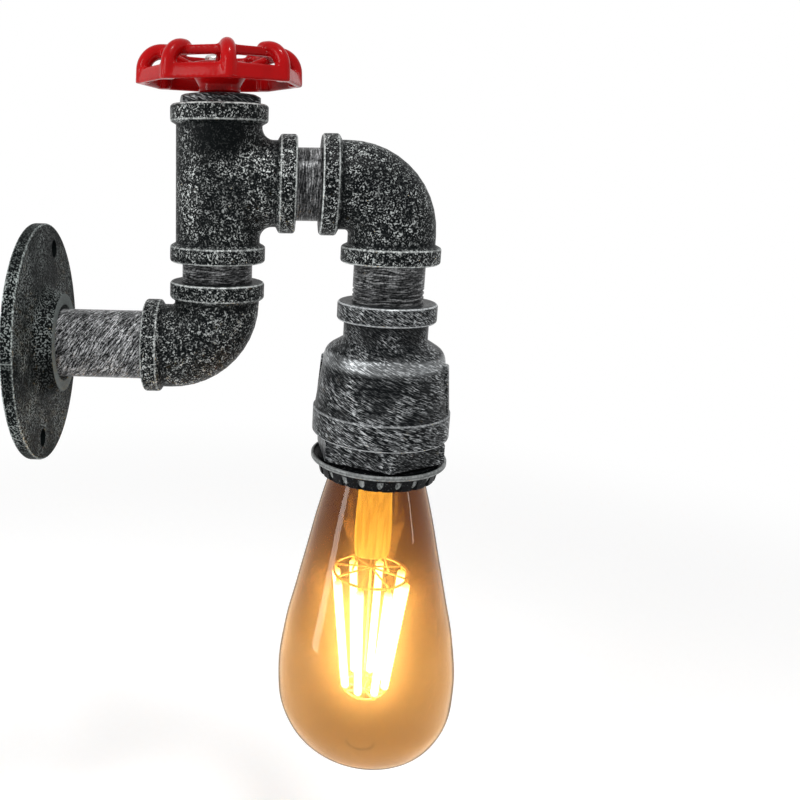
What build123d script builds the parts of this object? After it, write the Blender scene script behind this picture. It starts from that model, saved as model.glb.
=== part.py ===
from build123d import *

import os
from math import asin, cos, sin, sqrt

# An industrial pipe wall light, in millimetres. A round flange screws to the wall, and threaded
# fittings carry the light out, up past a valve wheel, over and down to a lampholder and its lamp.
# X points out of the wall, Z points up, and the origin is the centre of the flange's back face.

# ---- pipe and its fittings ------------------------------------------------------------------
PIPE_R = 13.4  # outside radius of three-quarter inch pipe
PIPE_BORE_R = 10.8
THREAD_PLAY = 0.05  # between a made-up thread and its socket
SOCKET_DEPTH = 11.5  # how far a fitting is bored for a pipe
SEAT_GAP = 0.3  # between a pipe's end and the bottom of its socket
WATERWAY_R = 11.2  # bore of the fittings behind their sockets
PIPE_CHAMFER = 0.8
EDGE = 0.3  # least rounding of an edge
CUT = 1.0  # how far a cut runs past the face that it opens
BAND_W = 6.1  # reinforcing band round every mouth
BAND_R = 18.15
BAND_EDGE = 1.2
BAND_FOOT = 1.2  # slope from the band down to the body
ELBOW_BODY_R = 16.3
ELBOW_BEND_R = 17.8  # of the elbow's middle line
UPPER_BAND_R = 18.6  # the upper elbow is cast a little heavier
TEE_BODY_R = 16.0
TEE_BRANCH_R = 15.9
TEE_BLEND = 4.5

# ---- where the fittings stand -----------------------------------------------------------------
STACK_X = 71.8  # axis of the upright stack over the lower elbow
LOWER_ELBOW_SIDE = 27.9  # centre of the elbow to the face of its mouth
LOWER_ELBOW_END = 26.0
STACK_SHOW = 7.4  # bare pipe between the lower elbow and the tee
TEE_DOWN = 29.4
TEE_UP = 28.2
TEE_SIDE = 29.1
ARM_SHOW = 8.9  # bare pipe between the tee and the upper elbow
UPPER_ELBOW_SIDE = 27.4
UPPER_ELBOW_END = 28.5
DROP_SHOW = 14.7  # bare pipe between the upper elbow and the reducer

# ---- wall flange --------------------------------------------------------------------------------
FLANGE_R = 46.6
FLANGE_T = 4.8
FLANGE_EDGE = 0.9
HUB_FACE_X = 11.4
HUB_R = 19.3
HUB_FLARE = 2.4  # how far the hub's foot spreads over the flange
HUB_ROUND = 3.0  # of the flare, at its foot and under the face
HUB_TAPER = 1.0
HUB_TAPER_H = 2.0
MOUTH_CHAMFER = 1.8
FLANGE_PIPE_BACK = 1.5  # the pipe stops this far short of the wall
SCREW_HOLE_R = 3.5
SCREW_CIRCLE_R = 38.0
SCREW_TURN = 20.0  # degrees the pair of holes is turned from the vertical

# ---- thread showing on the drop pipe --------------------------------------------------------------
PIPE_PITCH = 1.814
PIPE_THREAD_DEPTH = 0.6
DROP_THREAD_SHOW = 6.0

# ---- reducer --------------------------------------------------------------------------------------
REDUCER_TOP_BAND_R = 18.9
REDUCER_TOP_BAND_W = 7.1
REDUCER_NECK_R = 16.1
REDUCER_NECK_END = 14.4  # top face down to the shoulder
REDUCER_SHOULDER_STEP = 3.2  # shoulder's outline inside the body's
REDUCER_SHOULDER_DROP = 18.6
REDUCER_SHOULDER_ROUND = 6.0
REDUCER_TOP_TO_BAND = 42.0
REDUCER_BAND_R = 26.6
REDUCER_BAND_W = 10.5
REDUCER_BAND_STEP = 0.6  # band proud of the body
REDUCER_TOP_STEP = 0.6  # slope under the upper band
REDUCER_NECK_ROUND = 1.2
REDUCER_RELIEF = 0.9  # cavity wider than the thread below it
REDUCER_RELIEF_RISE = 0.5  # end of the thread above the bushing's
REDUCER_ROOF_DROP = 20.0  # top face down to the roof of the cavity
REDUCER_RIB_W = 3.4
REDUCER_RIB_INSET = 0.3  # rib's foot inside the band
REDUCER_RIB_TURN = -20.0  # degrees from +X
REDUCER_RIB_TOP_DROP = 22.4
REDUCER_RIB_SLOPE = 1.6  # how far the rib's top leans in
REDUCER_RIB_ROUND = 1.0

# ---- bushing and lampholder -------------------------------------------------------------------------
BUSHING_WALL = 2.7  # from the holder out to the bushing's thread
BUSHING_THREAD_L = 12.0
BUSHING_SEAT = 0.1  # between the reducer's lower face and the hexagon
BUSHING_INSET = 0.215  # hexagon's corners inside the reducer's band
BUSHING_HEX_H = 7.9
BUSHING_HEX_TURN = -86.6  # degrees to one corner of the hexagon
BUSHING_CHAMFER = 0.8
HOLDER_WALL = 4.25  # round the screw shell
HOLDER_PLAY = 0.25  # round the holder in the bushing
HOLDER_SHOULDER = 1.8  # thread proud of the body
HOLDER_THREAD_L = 5.2
HOLDER_MOUTH_WALL = 2.1  # of the thread round the mouth
HOLDER_MOUTH_L = 10.0
HOLDER_TOP_GAP = 1.2  # holder's top face down from the reducer's roof
HOLDER_ROOF = 3.4
LOCKNUT_H = 4.2
LOCKNUT_W = 2.6
LOCKNUT_CORNER = 0.6  # hexagon's corners beyond the nut's rounding
SHELL_PLAY = 0.25  # round the lamp's cap
SHELL_T = 0.6
TONGUE_W = 6.0
TONGUE_L = 17.0
TONGUE_T = 0.8
TERMINAL_R = 2.6
TERMINAL_H = 2.4
TERMINAL_PITCH = 20.0
TERMINAL_SLOT = 0.8

# ---- shade ring and its washer ------------------------------------------------------------------------
RING_GAP = 1.0  # between the bushing's lower face and the top of the ring's lip
RING_PLAY = 0.08  # running fit on the holder's thread
RING_LIP_H = 1.9
RING_LIP_T = 1.1
RING_FLOOR_T = 1.0
RING_LIP_REACH = 2.3  # lip beyond the top of the skirt
RING_SKIRT_LEAN = 1.4
RING_SKIRT_T = 1.55
RING_H = 7.6
RING_THREAD_END = 0.4  # ring's thread below the holder's
RING_TEETH = 21
RING_NOTCH_R = 1.3
RING_NOTCH_OUT = 0.455  # notch's middle outside the skirt's foot
RING_WASHER_T = 0.7
RING_WASHER_GAP = 0.1  # over the cup's floor
RING_WASHER_PLAY = 0.32  # round the holder's thread
RING_WASHER_EDGE = 1.58  # in from the lip

# ---- lamp -----------------------------------------------------------------------------------------------
CAP_R = 13.1
CAP_PITCH = 3.62
CAP_TURNS = 5
CAP_THREAD_DEPTH = 1.0
CAP_PLAY = 0.3  # from the lamp's contact to the tongue
INSULATOR_H = 3.0
INSULATOR_TOP_R = 5.4
CONTACT_R = 4.7
CONTACT_H = 1.3
GLASS_T = 0.9
GLASS_NECK_STEP = 0.4  # glass's neck inside the cap's crests
GLASS_L = 148.0
BELLY_R = 36.8
TIP_H = 4.0
TIP_R = 6.5
STEM_R = 7.2
STEM_L = 57.0
STEM_FLARE_GAP = 0.2  # flare in the neck
STEM_RIM_GAP = 0.5  # flare's top below the glass's rim
STEM_FLARE_H = 2.5
STEM_WAIST_DROP = 12.0
STEM_WAIST = 0.8  # share of the stem's radius, as the foot's
STEM_FOOT = 0.55
STEM_PRESS_L = 20.0
CAGE_TOP_R = 15.2
CAGE_FOOT_R = 8.6
CAGE_TOP_DROP = 62.0  # below the glass's rim
CAGE_L = 56.0
BAR_COUNT = 8
BAR_R = 1.6
CARRIER_T = 1.0
CARRIER_WIRE_R = 0.7
LEAD_R = 0.5
LEAD_GAP = 0.15

# ---- plug, stem and valve wheel ---------------------------------------------------------------------------
PLUG_FLATS = 28.2
PLUG_SHOW = 3.3
PLUG_SLOPE = 0.7  # in from the flats to the top face
PLUG_SLOPE_H = 1.4
PLUG_THREAD_L = 9.0
STEM_WASHER_R = 6.8
STEM_WASHER_T = 0.4
SPINDLE_R = 4.0
SPINDLE_PLAY = 0.06
WHEEL_GAP = 0.1  # between the washer and the wheel's hub
WHEEL_HUB_R = 7.7
WHEEL_HUB_TOP_R = 11.0
WHEEL_HUB_H = 10.6
WHEEL_HUB_HEAD_H = 3.0
WHEEL_HUB_ROUND = 1.5
WHEEL_CORNERS = 8
WHEEL_TURN = -80.3  # degrees to one corner
WHEEL_CORNER_R = 30.8  # to the corners of the skirt's lower edge
WHEEL_SKIRT_TOP_R = 29.6
WHEEL_SKIRT_RISE = 2.8  # skirt's lower edge above the hub's foot
WHEEL_SKIRT_H = 5.2
WHEEL_SKIRT_T = 2.4
WHEEL_RIB_R = 2.7
WHEEL_RIB_BEND = 6.6
WHEEL_RIB_LEAN = 0.6
WHEEL_CREST_H = 13.8  # top of the ribs above the skirt's lower edge
WHEEL_RIM_R = 20.6  # middle of the upper ring, at its corners
WHEEL_RIM_W = 4.2
WHEEL_RIM_H = 3.0
WHEEL_RIM_DROP = 2.2  # upper ring's top below the ribs' crests
WHEEL_SPOKES = 4
WHEEL_SPOKE_W = 6.0
WHEEL_SPOKE_T = 3.2
WHEEL_SCREW_R = 5.6
WHEEL_SCREW_H = 2.6
WHEEL_SCREW_SLOT = 1.0
WHEEL_SCREW_ROUND = 1.2

# ---- sizes that follow from others, from the lamp's cap outwards -------------------------------
SOCKET_R = PIPE_R + THREAD_PLAY
GLASS_NECK_R = CAP_R - GLASS_NECK_STEP
SHELL_R = CAP_R + SHELL_PLAY
HOLDER_R = SHELL_R + SHELL_T + HOLDER_WALL
HOLDER_THREAD_R = HOLDER_R + HOLDER_SHOULDER
HOLDER_MOUTH_R = HOLDER_THREAD_R - HOLDER_MOUTH_WALL
LOCKNUT_R = HOLDER_R + LOCKNUT_W
BUSHING_THREAD_R = HOLDER_R + BUSHING_WALL
REDUCER_CAVITY_R = BUSHING_THREAD_R + REDUCER_RELIEF
REDUCER_BODY_R = REDUCER_BAND_R - REDUCER_BAND_STEP
REDUCER_SHOULDER_R = REDUCER_BODY_R - REDUCER_SHOULDER_STEP
REDUCER_RIB_R = REDUCER_BAND_R - REDUCER_RIB_INSET
BUSHING_CORNER_R = REDUCER_BAND_R - BUSHING_INSET
RING_LIP_R = REDUCER_BAND_R  # the ring's lip lines up with the reducer's band
RING_SKIRT_TOP_R = RING_LIP_R - RING_LIP_REACH
RING_SKIRT_R = RING_SKIRT_TOP_R - RING_SKIRT_LEAN
RING_SKIRT_BORE_R = RING_SKIRT_R - RING_SKIRT_T
PLUG_TOP_R = PLUG_FLATS / 2 - PLUG_SLOPE

# ---- places that follow from the sizes ---------------------------------------------------------------------
TEE_Z = LOWER_ELBOW_END + STACK_SHOW + TEE_DOWN
DROP_X = STACK_X + TEE_SIDE + ARM_SHOW + UPPER_ELBOW_SIDE
UPPER_MOUTH_Z = TEE_Z - UPPER_ELBOW_END
REDUCER_Z = UPPER_MOUTH_Z - DROP_SHOW  # reducer's top face
REDUCER_FOOT_Z = REDUCER_Z - REDUCER_TOP_TO_BAND - REDUCER_BAND_W
HEX_TOP_Z = REDUCER_FOOT_Z - BUSHING_SEAT
HEX_FOOT_Z = HEX_TOP_Z - BUSHING_HEX_H
BUSHING_TOP_Z = HEX_TOP_Z + BUSHING_THREAD_L
HOLDER_TOP_Z = REDUCER_Z - REDUCER_ROOF_DROP - HOLDER_TOP_GAP - TERMINAL_H
HOLDER_FOOT_Z = HEX_FOOT_Z - HOLDER_THREAD_L
SHELL_TOP_Z = HOLDER_TOP_Z - HOLDER_ROOF
CONTACT_Z = SHELL_TOP_Z - TONGUE_T - CAP_PLAY  # lamp's contact
GLASS_RIM_Z = CONTACT_Z - CONTACT_H - INSULATOR_H - CAP_TURNS * CAP_PITCH
RING_TOP_Z = HEX_FOOT_Z - RING_GAP
RING_FLOOR_Z = RING_TOP_Z - RING_LIP_H + RING_FLOOR_T
PLUG_SEAT_Z = TEE_Z + TEE_UP
PLUG_TOP_Z = PLUG_SEAT_Z + PLUG_SHOW
HUB_FOOT_Z = PLUG_TOP_Z + STEM_WASHER_T + WHEEL_GAP
SKIRT_Z = HUB_FOOT_Z + WHEEL_SKIRT_RISE
CREST_Z = SKIRT_Z + WHEEL_CREST_H

ALONG_X = Rot(0, 90, 0)  # turns a piece made along Z to lie along X


def turned(*corners):
    """Solid of revolution about Z from (radius, height) corners; a third number rounds a corner."""
    points = [(corner[0], 0, corner[1]) for corner in corners]
    rounds = [corner[2] if len(corner) > 2 else 0 for corner in corners]
    section = make_face(FilletPolyline(*points, radius=rounds, close=True))
    return revolve(section, axis=Axis.Z)


def rod(radius, low, high):
    """Round bar about Z between two heights."""
    return Pos(0, 0, low) * Cylinder(radius, high - low, align=(Align.CENTER, Align.CENTER, Align.MIN))


def tube(radius, bore, low, high):
    """Hollow bar about Z between two heights."""
    return rod(radius, low, high) - rod(bore, low, high)


def prism(sides, corner_r, low, high, turn):
    """Upright prism with one corner at the angle called turn."""
    base = Plane.XY.offset(low) * Rot(0, 0, turn) * RegularPolygon(corner_r, sides)
    return extrude(base, amount=high - low)


def hexagon(flats, low, high, turn):
    """Hexagonal prism across its flats."""
    return prism(6, flats / sqrt(3), low, high, turn)


def around(count, piece, turn=0.0):
    """Copies of a piece at equal steps round Z."""
    return [Rot(0, 0, turn + 360 * step / count) * piece for step in range(count)]


def mouth(band_r, body_r, band_w=BAND_W):
    """Reinforcing band of a fitting's mouth: face at height zero, body upwards."""
    return turned(
        (0, 0),
        (band_r, 0, BAND_EDGE),
        (band_r, band_w, BAND_EDGE),
        (body_r, band_w + BAND_FOOT, BAND_FOOT / 3),
        (body_r, band_w + 1.5 * BAND_FOOT),
        (0, band_w + 1.5 * BAND_FOOT),
    )


def pipe(low, high):
    """Pipe nipple about Z with a chamfer at each end."""
    return turned(
        (PIPE_BORE_R, low),
        (PIPE_R - PIPE_CHAMFER, low),
        (PIPE_R, low + PIPE_CHAMFER),
        (PIPE_R, high - PIPE_CHAMFER),
        (PIPE_R - PIPE_CHAMFER, high),
        (PIPE_BORE_R, high),
    )


def wall_flange():
    """Round flange, back on the wall, with a flared hub bored for the pipe and two screw holes."""
    body = turned(
        (SOCKET_R, 0),
        (FLANGE_R, 0, FLANGE_EDGE),
        (FLANGE_R, FLANGE_T, FLANGE_EDGE),
        (HUB_R + HUB_FLARE, FLANGE_T, HUB_ROUND),
        (HUB_R + HUB_TAPER, HUB_FACE_X - HUB_TAPER_H, HUB_ROUND),
        (HUB_R, HUB_FACE_X, 2 * EDGE),
        (SOCKET_R + MOUTH_CHAMFER, HUB_FACE_X),
        (SOCKET_R, HUB_FACE_X - MOUTH_CHAMFER),
    )
    holes = around(2, Pos(-SCREW_CIRCLE_R, 0, 0) * rod(SCREW_HOLE_R, -CUT, FLANGE_T + CUT), -SCREW_TURN)
    return ALONG_X * (body - holes)


def elbow(side, end, band_r):
    """Elbow about the origin with its mouths towards -X and +Z."""
    bend_path = FilletPolyline((-side + BAND_W, 0, 0), (0, 0, 0), (0, 0, end - BAND_W), radius=ELBOW_BEND_R)
    mouths = (
        Pos(-side, 0, 0) * ALONG_X * mouth(band_r, ELBOW_BODY_R),
        Pos(0, 0, end) * Rot(180, 0, 0) * mouth(band_r, ELBOW_BODY_R),
    )
    start = Plane(origin=bend_path @ 0, z_dir=bend_path % 0)
    body = sweep(start * Circle(ELBOW_BODY_R), path=bend_path)
    for piece in mouths:
        body += piece
    waterway = sweep(start * Circle(WATERWAY_R), path=bend_path)
    for place in (Pos(-side, 0, 0) * ALONG_X, Pos(0, 0, end) * Rot(180, 0, 0)):
        waterway += place * rod(SOCKET_R, 0, SOCKET_DEPTH)
        waterway += place * rod(WATERWAY_R, 0, BAND_W + EDGE)
    return body - waterway


def tee():
    """Tee about the origin with mouths down, up and towards +X."""
    run = rod(TEE_BODY_R, -TEE_DOWN + BAND_W, TEE_UP - BAND_W)
    branch = ALONG_X * rod(TEE_BRANCH_R, 0, TEE_SIDE - BAND_W)
    body = run + branch
    saddle = [
        edge
        for edge in body.edges()
        if edge.geom_type != GeomType.LINE
        and edge.center().X > 0
        and min(edge.bounding_box().size.X, edge.bounding_box().size.Z) > THREAD_PLAY
    ]
    body = fillet(saddle, TEE_BLEND)
    hollow = rod(WATERWAY_R, -TEE_DOWN, TEE_UP) + ALONG_X * rod(WATERWAY_R, 0, TEE_SIDE)
    for place, body_r in (
        (Pos(0, 0, -TEE_DOWN), TEE_BODY_R),
        (Pos(0, 0, TEE_UP) * Rot(180, 0, 0), TEE_BODY_R),
        (Pos(TEE_SIDE, 0, 0) * Rot(0, -90, 0), TEE_BRANCH_R),
    ):
        body += place * mouth(BAND_R, body_r)
        hollow += place * rod(SOCKET_R, 0, SOCKET_DEPTH)
    return body - hollow


def drop_nipple():
    """Pipe down from the upper elbow, with the last turns of its thread showing above the reducer."""
    low = REDUCER_Z - SOCKET_DEPTH + SEAT_GAP
    high = UPPER_MOUTH_Z + SOCKET_DEPTH - SEAT_GAP
    body = pipe(low, high)
    turns = int(DROP_THREAD_SHOW / PIPE_PITCH)
    half = PIPE_THREAD_DEPTH
    for turn in range(turns):
        middle = REDUCER_Z + turn * PIPE_PITCH + 2 * half
        body -= turned(
            (PIPE_R + CUT, middle - half),
            (PIPE_R, middle - half),
            (PIPE_R - PIPE_THREAD_DEPTH, middle),
            (PIPE_R, middle + half),
            (PIPE_R + CUT, middle + half),
        )
    return body


def bell_reducer():
    """Bell-shaped reducer: a small banded mouth above, a wide one below and a rib on each side."""
    top, foot = REDUCER_Z, REDUCER_FOOT_Z
    neck_z = top - REDUCER_NECK_END
    band_z = foot + REDUCER_BAND_W
    outside = turned(
        (0, top),
        (REDUCER_TOP_BAND_R, top, BAND_EDGE),
        (REDUCER_TOP_BAND_R, top - REDUCER_TOP_BAND_W, BAND_EDGE),
        (REDUCER_NECK_R, top - REDUCER_TOP_BAND_W - REDUCER_TOP_STEP, EDGE),
        (REDUCER_NECK_R, neck_z, REDUCER_NECK_ROUND),
        (REDUCER_SHOULDER_R, top - REDUCER_SHOULDER_DROP, REDUCER_SHOULDER_ROUND),
        (REDUCER_BODY_R, band_z, REDUCER_BAND_STEP / 3),
        (REDUCER_BAND_R, band_z, REDUCER_BAND_STEP / 2),
        (REDUCER_BAND_R, foot, BAND_EDGE),
        (0, foot),
    )
    rib_top = top - REDUCER_RIB_TOP_DROP
    rib_reach = turned(
        (REDUCER_NECK_R, rib_top),
        (REDUCER_RIB_R - REDUCER_RIB_SLOPE, rib_top, REDUCER_RIB_ROUND),
        (REDUCER_RIB_R, band_z - CUT),
        (REDUCER_NECK_R, band_z - CUT),
    )
    slab_h = rib_top - band_z + 4 * CUT
    rib_slab = Pos(REDUCER_RIB_R, 0, (rib_top + band_z) / 2) * Box(REDUCER_RIB_R, REDUCER_RIB_W, slab_h)
    for slab in around(2, rib_slab, REDUCER_RIB_TURN):
        outside += rib_reach & slab
    roof = top - REDUCER_ROOF_DROP
    thread_end = BUSHING_TOP_Z + REDUCER_RELIEF_RISE
    inside = turned(
        (0, foot - CUT),
        (BUSHING_THREAD_R + THREAD_PLAY, foot - CUT),
        (BUSHING_THREAD_R + THREAD_PLAY, thread_end),
        (REDUCER_CAVITY_R, thread_end + REDUCER_RELIEF),
        (REDUCER_CAVITY_R, roof, REDUCER_SHOULDER_ROUND / 2),
        (WATERWAY_R, roof),
        (WATERWAY_R, top - SOCKET_DEPTH),
        (SOCKET_R, top - SOCKET_DEPTH),
        (SOCKET_R, top + CUT),
        (0, top + CUT),
    )
    return outside - inside


def hex_bushing():
    """Threaded bushing in the reducer, hexagonal below, that carries the lampholder."""
    head = prism(6, BUSHING_CORNER_R, HEX_FOOT_Z, HEX_TOP_Z, BUSHING_HEX_TURN)
    clear = BUSHING_CORNER_R + THREAD_PLAY
    head &= turned(
        (0, HEX_FOOT_Z),
        (BUSHING_CORNER_R - BUSHING_CHAMFER / 2, HEX_FOOT_Z),
        (clear, HEX_FOOT_Z + BUSHING_CHAMFER),
        (clear, HEX_TOP_Z - BUSHING_CHAMFER),
        (BUSHING_CORNER_R - 2 * BUSHING_CHAMFER, HEX_TOP_Z),
        (0, HEX_TOP_Z),
    )
    body = head + rod(BUSHING_THREAD_R, HEX_TOP_Z - CUT, BUSHING_TOP_Z)
    return body - rod(HOLDER_R + HOLDER_PLAY, HEX_FOOT_Z - CUT, BUSHING_TOP_Z + CUT)


def holder_body():
    """Insulating body: a closed cup that opens downwards, threaded outside below the bushing."""
    shell_bore = SHELL_R + SHELL_T + THREAD_PLAY
    mouth_z = HOLDER_FOOT_Z + HOLDER_MOUTH_L
    return turned(
        (0, HOLDER_TOP_Z),
        (HOLDER_R, HOLDER_TOP_Z, 3 * EDGE),
        (HOLDER_R, HEX_FOOT_Z - BUSHING_SEAT),
        (HOLDER_THREAD_R, HEX_FOOT_Z - BUSHING_SEAT, EDGE),
        (HOLDER_THREAD_R, HOLDER_FOOT_Z, EDGE),
        (HOLDER_MOUTH_R, HOLDER_FOOT_Z, EDGE),
        (HOLDER_MOUTH_R, mouth_z, 3 * EDGE),
        (shell_bore, mouth_z),
        (shell_bore, SHELL_TOP_Z),
        (0, SHELL_TOP_Z),
    )


def holder_locknut():
    """Ring nut that clamps the holder down on the bushing."""
    low = BUSHING_TOP_Z + BUSHING_SEAT
    high = low + LOCKNUT_H
    nut = prism(6, LOCKNUT_R + LOCKNUT_CORNER, low, high, 0) & rod(LOCKNUT_R, low, high)
    return nut - rod(HOLDER_R + THREAD_PLAY, low - CUT, high + CUT)


def screw_shell():
    """Metal screw shell inside the holder, bored to the thread's crest."""
    return tube(SHELL_R + SHELL_T, SHELL_R, GLASS_RIM_Z + SHELL_T, SHELL_TOP_Z - TONGUE_T)


def contact_tongue():
    """Flat centre contact on the holder's roof."""
    low = SHELL_TOP_Z - TONGUE_T
    return Pos(0, 0, low + TONGUE_T / 2) * Box(TONGUE_L, TONGUE_W, TONGUE_T)


def terminal_screws():
    """Two slotted terminal screws on top of the holder."""
    head = rod(TERMINAL_R, HOLDER_TOP_Z, HOLDER_TOP_Z + TERMINAL_H)
    slot = Pos(0, 0, HOLDER_TOP_Z + TERMINAL_H) * Box(3 * TERMINAL_R, TERMINAL_SLOT, TERMINAL_H)
    return Compound(children=around(2, Pos(TERMINAL_PITCH / 2, 0, 0) * (head - slot)))


def shade_ring():
    """Shade ring: a lipped cup on the holder's thread over a toothed skirt."""
    lip_foot = RING_TOP_Z - RING_LIP_H
    foot = RING_TOP_Z - RING_H
    thread_r = HOLDER_THREAD_R + RING_PLAY
    thread_z = HOLDER_FOOT_Z - RING_THREAD_END
    body = turned(
        (thread_r, RING_FLOOR_Z),
        (RING_LIP_R - RING_LIP_T, RING_FLOOR_Z, EDGE),
        (RING_LIP_R - RING_LIP_T, RING_TOP_Z, EDGE),
        (RING_LIP_R, RING_TOP_Z, 1.5 * EDGE),
        (RING_LIP_R, lip_foot, 1.5 * EDGE),
        (RING_SKIRT_TOP_R, lip_foot, EDGE),
        (RING_SKIRT_R, foot, 1.5 * EDGE),
        (RING_SKIRT_BORE_R, foot, EDGE),
        (RING_SKIRT_BORE_R, thread_z - RING_FLOOR_T),
        (thread_r, thread_z),
    )
    notch = rod(RING_NOTCH_R, foot - CUT, lip_foot - RING_SKIRT_LEAN)
    notch = Pos(RING_SKIRT_R + RING_NOTCH_OUT, 0, 0) * notch
    for cut in around(RING_TEETH, notch, 180 / RING_TEETH):
        body -= cut
    return body


def ring_washer():
    """Flat washer on the floor of the shade ring's cup."""
    low = RING_FLOOR_Z + RING_WASHER_GAP
    outer = RING_LIP_R - RING_LIP_T - RING_WASHER_EDGE
    return tube(outer, HOLDER_THREAD_R + RING_WASHER_PLAY, low, low + RING_WASHER_T)


def glass_outline(wall):
    """Half section of the envelope, its glass thinned by a wall: rim, flank, belly, shoulder and tip."""
    rim, tip = GLASS_RIM_Z, GLASS_RIM_Z - GLASS_L
    neck, belly = GLASS_NECK_R - wall, BELLY_R - wall
    stations = [
        (neck + 0.48 * (belly - neck) * share, rim - GLASS_L * drop)
        for share, drop in ((0.16, 0.05), (0.46, 0.12), (0.86, 0.235), (1.22, 0.36), (1.56, 0.48))
    ]
    stations += [
        (belly * share, rim - GLASS_L * drop)
        for share, drop in ((0.945, 0.605), (1.0, 0.755), (0.93, 0.855), (0.70, 0.93))
    ]
    stations.append((TIP_R - wall, tip + TIP_H + wall))
    flank = Spline(
        *[(r, 0, z) for r, z in [(neck, rim)] + stations],
        tangents=[(0, 0, -1), (-1, 0, -0.35)],
    )
    tip_r = TIP_R - wall
    ball_r = (tip_r**2 + TIP_H**2) / (2 * TIP_H)  # ball that the tip's cap is part of
    half_turn = asin(tip_r / ball_r) / 2
    nub = ThreePointArc(
        (tip_r, 0, tip + TIP_H + wall),
        (ball_r * sin(half_turn), 0, tip + wall + ball_r * (1 - cos(half_turn))),
        (0, 0, tip + wall),
    )
    axis = Polyline((0, 0, tip + wall), (0, 0, rim), (neck, 0, rim))
    return make_face([*flank.edges(), *nub.edges(), *axis.edges()])


def bulb_glass():
    """Thin amber envelope, open at its rim, with the tip nub below."""
    return revolve(glass_outline(0), axis=Axis.Z) - revolve(glass_outline(GLASS_T), axis=Axis.Z)


def bulb_cap():
    """Screw cap with rolled ridges, over the glass's neck."""
    low, root = GLASS_RIM_Z, CAP_R - CAP_THREAD_DEPTH
    skirt_r = GLASS_NECK_R + THREAD_PLAY
    ridges = []
    for turn in range(CAP_TURNS - 1):
        start = low + 2.2 + turn * CAP_PITCH
        ridges += [(root, start), (CAP_R, start + CAP_PITCH * 0.5, 0.7)]
    top = low + CAP_TURNS * CAP_PITCH
    return turned(
        (skirt_r - 1.6, low + 0.2),
        (CAP_R, low + 0.2, 0.3),
        (CAP_R, low + 1.4, 0.3),
        *ridges,
        (root, top - 1.8),
        (root - 2.0, top, 0.8),
        (root - 3.4, top),
        (root - 3.4, top - 1.0),
        (root - 1.2, top - 2.4),
        (root - 1.2, low + 1.4),
    )


def bulb_insulator():
    """Black glass ring between the cap and the contact."""
    low = GLASS_RIM_Z + CAP_TURNS * CAP_PITCH
    root = CAP_R - CAP_THREAD_DEPTH
    return turned(
        (0, low - 0.9),
        (root - 3.5, low - 0.9),
        (root - 3.5, low + 0.1),
        (INSULATOR_TOP_R, low + INSULATOR_H),
        (0, low + INSULATOR_H),
    )


def bulb_contact():
    """Round centre contact of the lamp."""
    low = CONTACT_Z - CONTACT_H
    return turned((0, low), (CONTACT_R, low), (CONTACT_R, CONTACT_Z, CONTACT_H / 2), (0, CONTACT_Z))


def bulb_stem():
    """Glass stem that rises from the neck and carries the filament cage."""
    flare_r = GLASS_NECK_R - GLASS_T - STEM_FLARE_GAP
    top, foot = GLASS_RIM_Z - STEM_RIM_GAP, GLASS_RIM_Z - STEM_L
    return turned(
        (0, top),
        (flare_r, top, EDGE),
        (flare_r, top - STEM_FLARE_H, 2 * EDGE),
        (STEM_R * STEM_WAIST, GLASS_RIM_Z - STEM_WAIST_DROP, STEM_R / 2),
        (STEM_R, foot + STEM_PRESS_L, STEM_R / 2),
        (STEM_R * STEM_FOOT, foot, STEM_R / 4),
        (0, foot),
    )


def carrier(ring_r, height):
    """Wire ring with a hub and two arms that the filament bars are welded to."""
    wire = Pos(0, 0, height) * Torus(ring_r, CARRIER_WIRE_R)
    arms = Pos(0, 0, height) * Box(2 * ring_r, CARRIER_T, CARRIER_T)
    arms += Pos(0, 0, height) * Box(CARRIER_T, 2 * ring_r, CARRIER_T)
    return wire + arms + rod(2 * CARRIER_WIRE_R, height - CARRIER_T, height + CARRIER_T)


def filament_bars():
    """Ring of straight glowing bars that lean in towards the lamp's tip."""
    top = GLASS_RIM_Z - CAGE_TOP_DROP
    clear = CARRIER_WIRE_R + LEAD_GAP
    upper = Vector(CAGE_TOP_R, 0, top)
    lower = Vector(CAGE_FOOT_R, 0, top - CAGE_L)
    along = (lower - upper).normalized()
    length = (lower - upper).length - 2 * clear
    bar = Plane(origin=upper + along * clear, z_dir=along) * rod(BAR_R, 0, length)
    return Compound(children=around(BAR_COUNT, bar, 360 / BAR_COUNT / 2))


def cage_post():
    """Middle wire from the stem to the lower carrier."""
    upper = GLASS_RIM_Z - CAGE_TOP_DROP
    clear = CARRIER_T + LEAD_GAP
    inner = rod(LEAD_R, upper - CAGE_L + clear, upper - clear)
    return inner + rod(LEAD_R, upper + clear, GLASS_RIM_Z - STEM_L - LEAD_GAP)


def top_plug():
    """Hexagonal plug in the tee's upper mouth, bored for the spindle."""
    foot = PLUG_SEAT_Z - PLUG_THREAD_L
    head = hexagon(PLUG_FLATS, PLUG_SEAT_Z, PLUG_TOP_Z, WHEEL_TURN)
    corner = PLUG_FLATS / sqrt(3)
    head &= turned(
        (0, PLUG_SEAT_Z),
        (corner, PLUG_SEAT_Z),
        (corner, PLUG_TOP_Z - PLUG_SLOPE_H),
        (PLUG_TOP_R, PLUG_TOP_Z),
        (0, PLUG_TOP_Z),
    )
    bore = rod(SPINDLE_R + THREAD_PLAY, foot - CUT, PLUG_TOP_Z + CUT)
    return head + rod(PIPE_R, foot, PLUG_SEAT_Z) - bore


def spindle():
    """Spindle that stands in the plug, shouldered under the washer, and carries the wheel."""
    return rod(SPINDLE_R, PLUG_SEAT_Z - PLUG_THREAD_L, HUB_FOOT_Z + WHEEL_HUB_H - SEAT_GAP)


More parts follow.
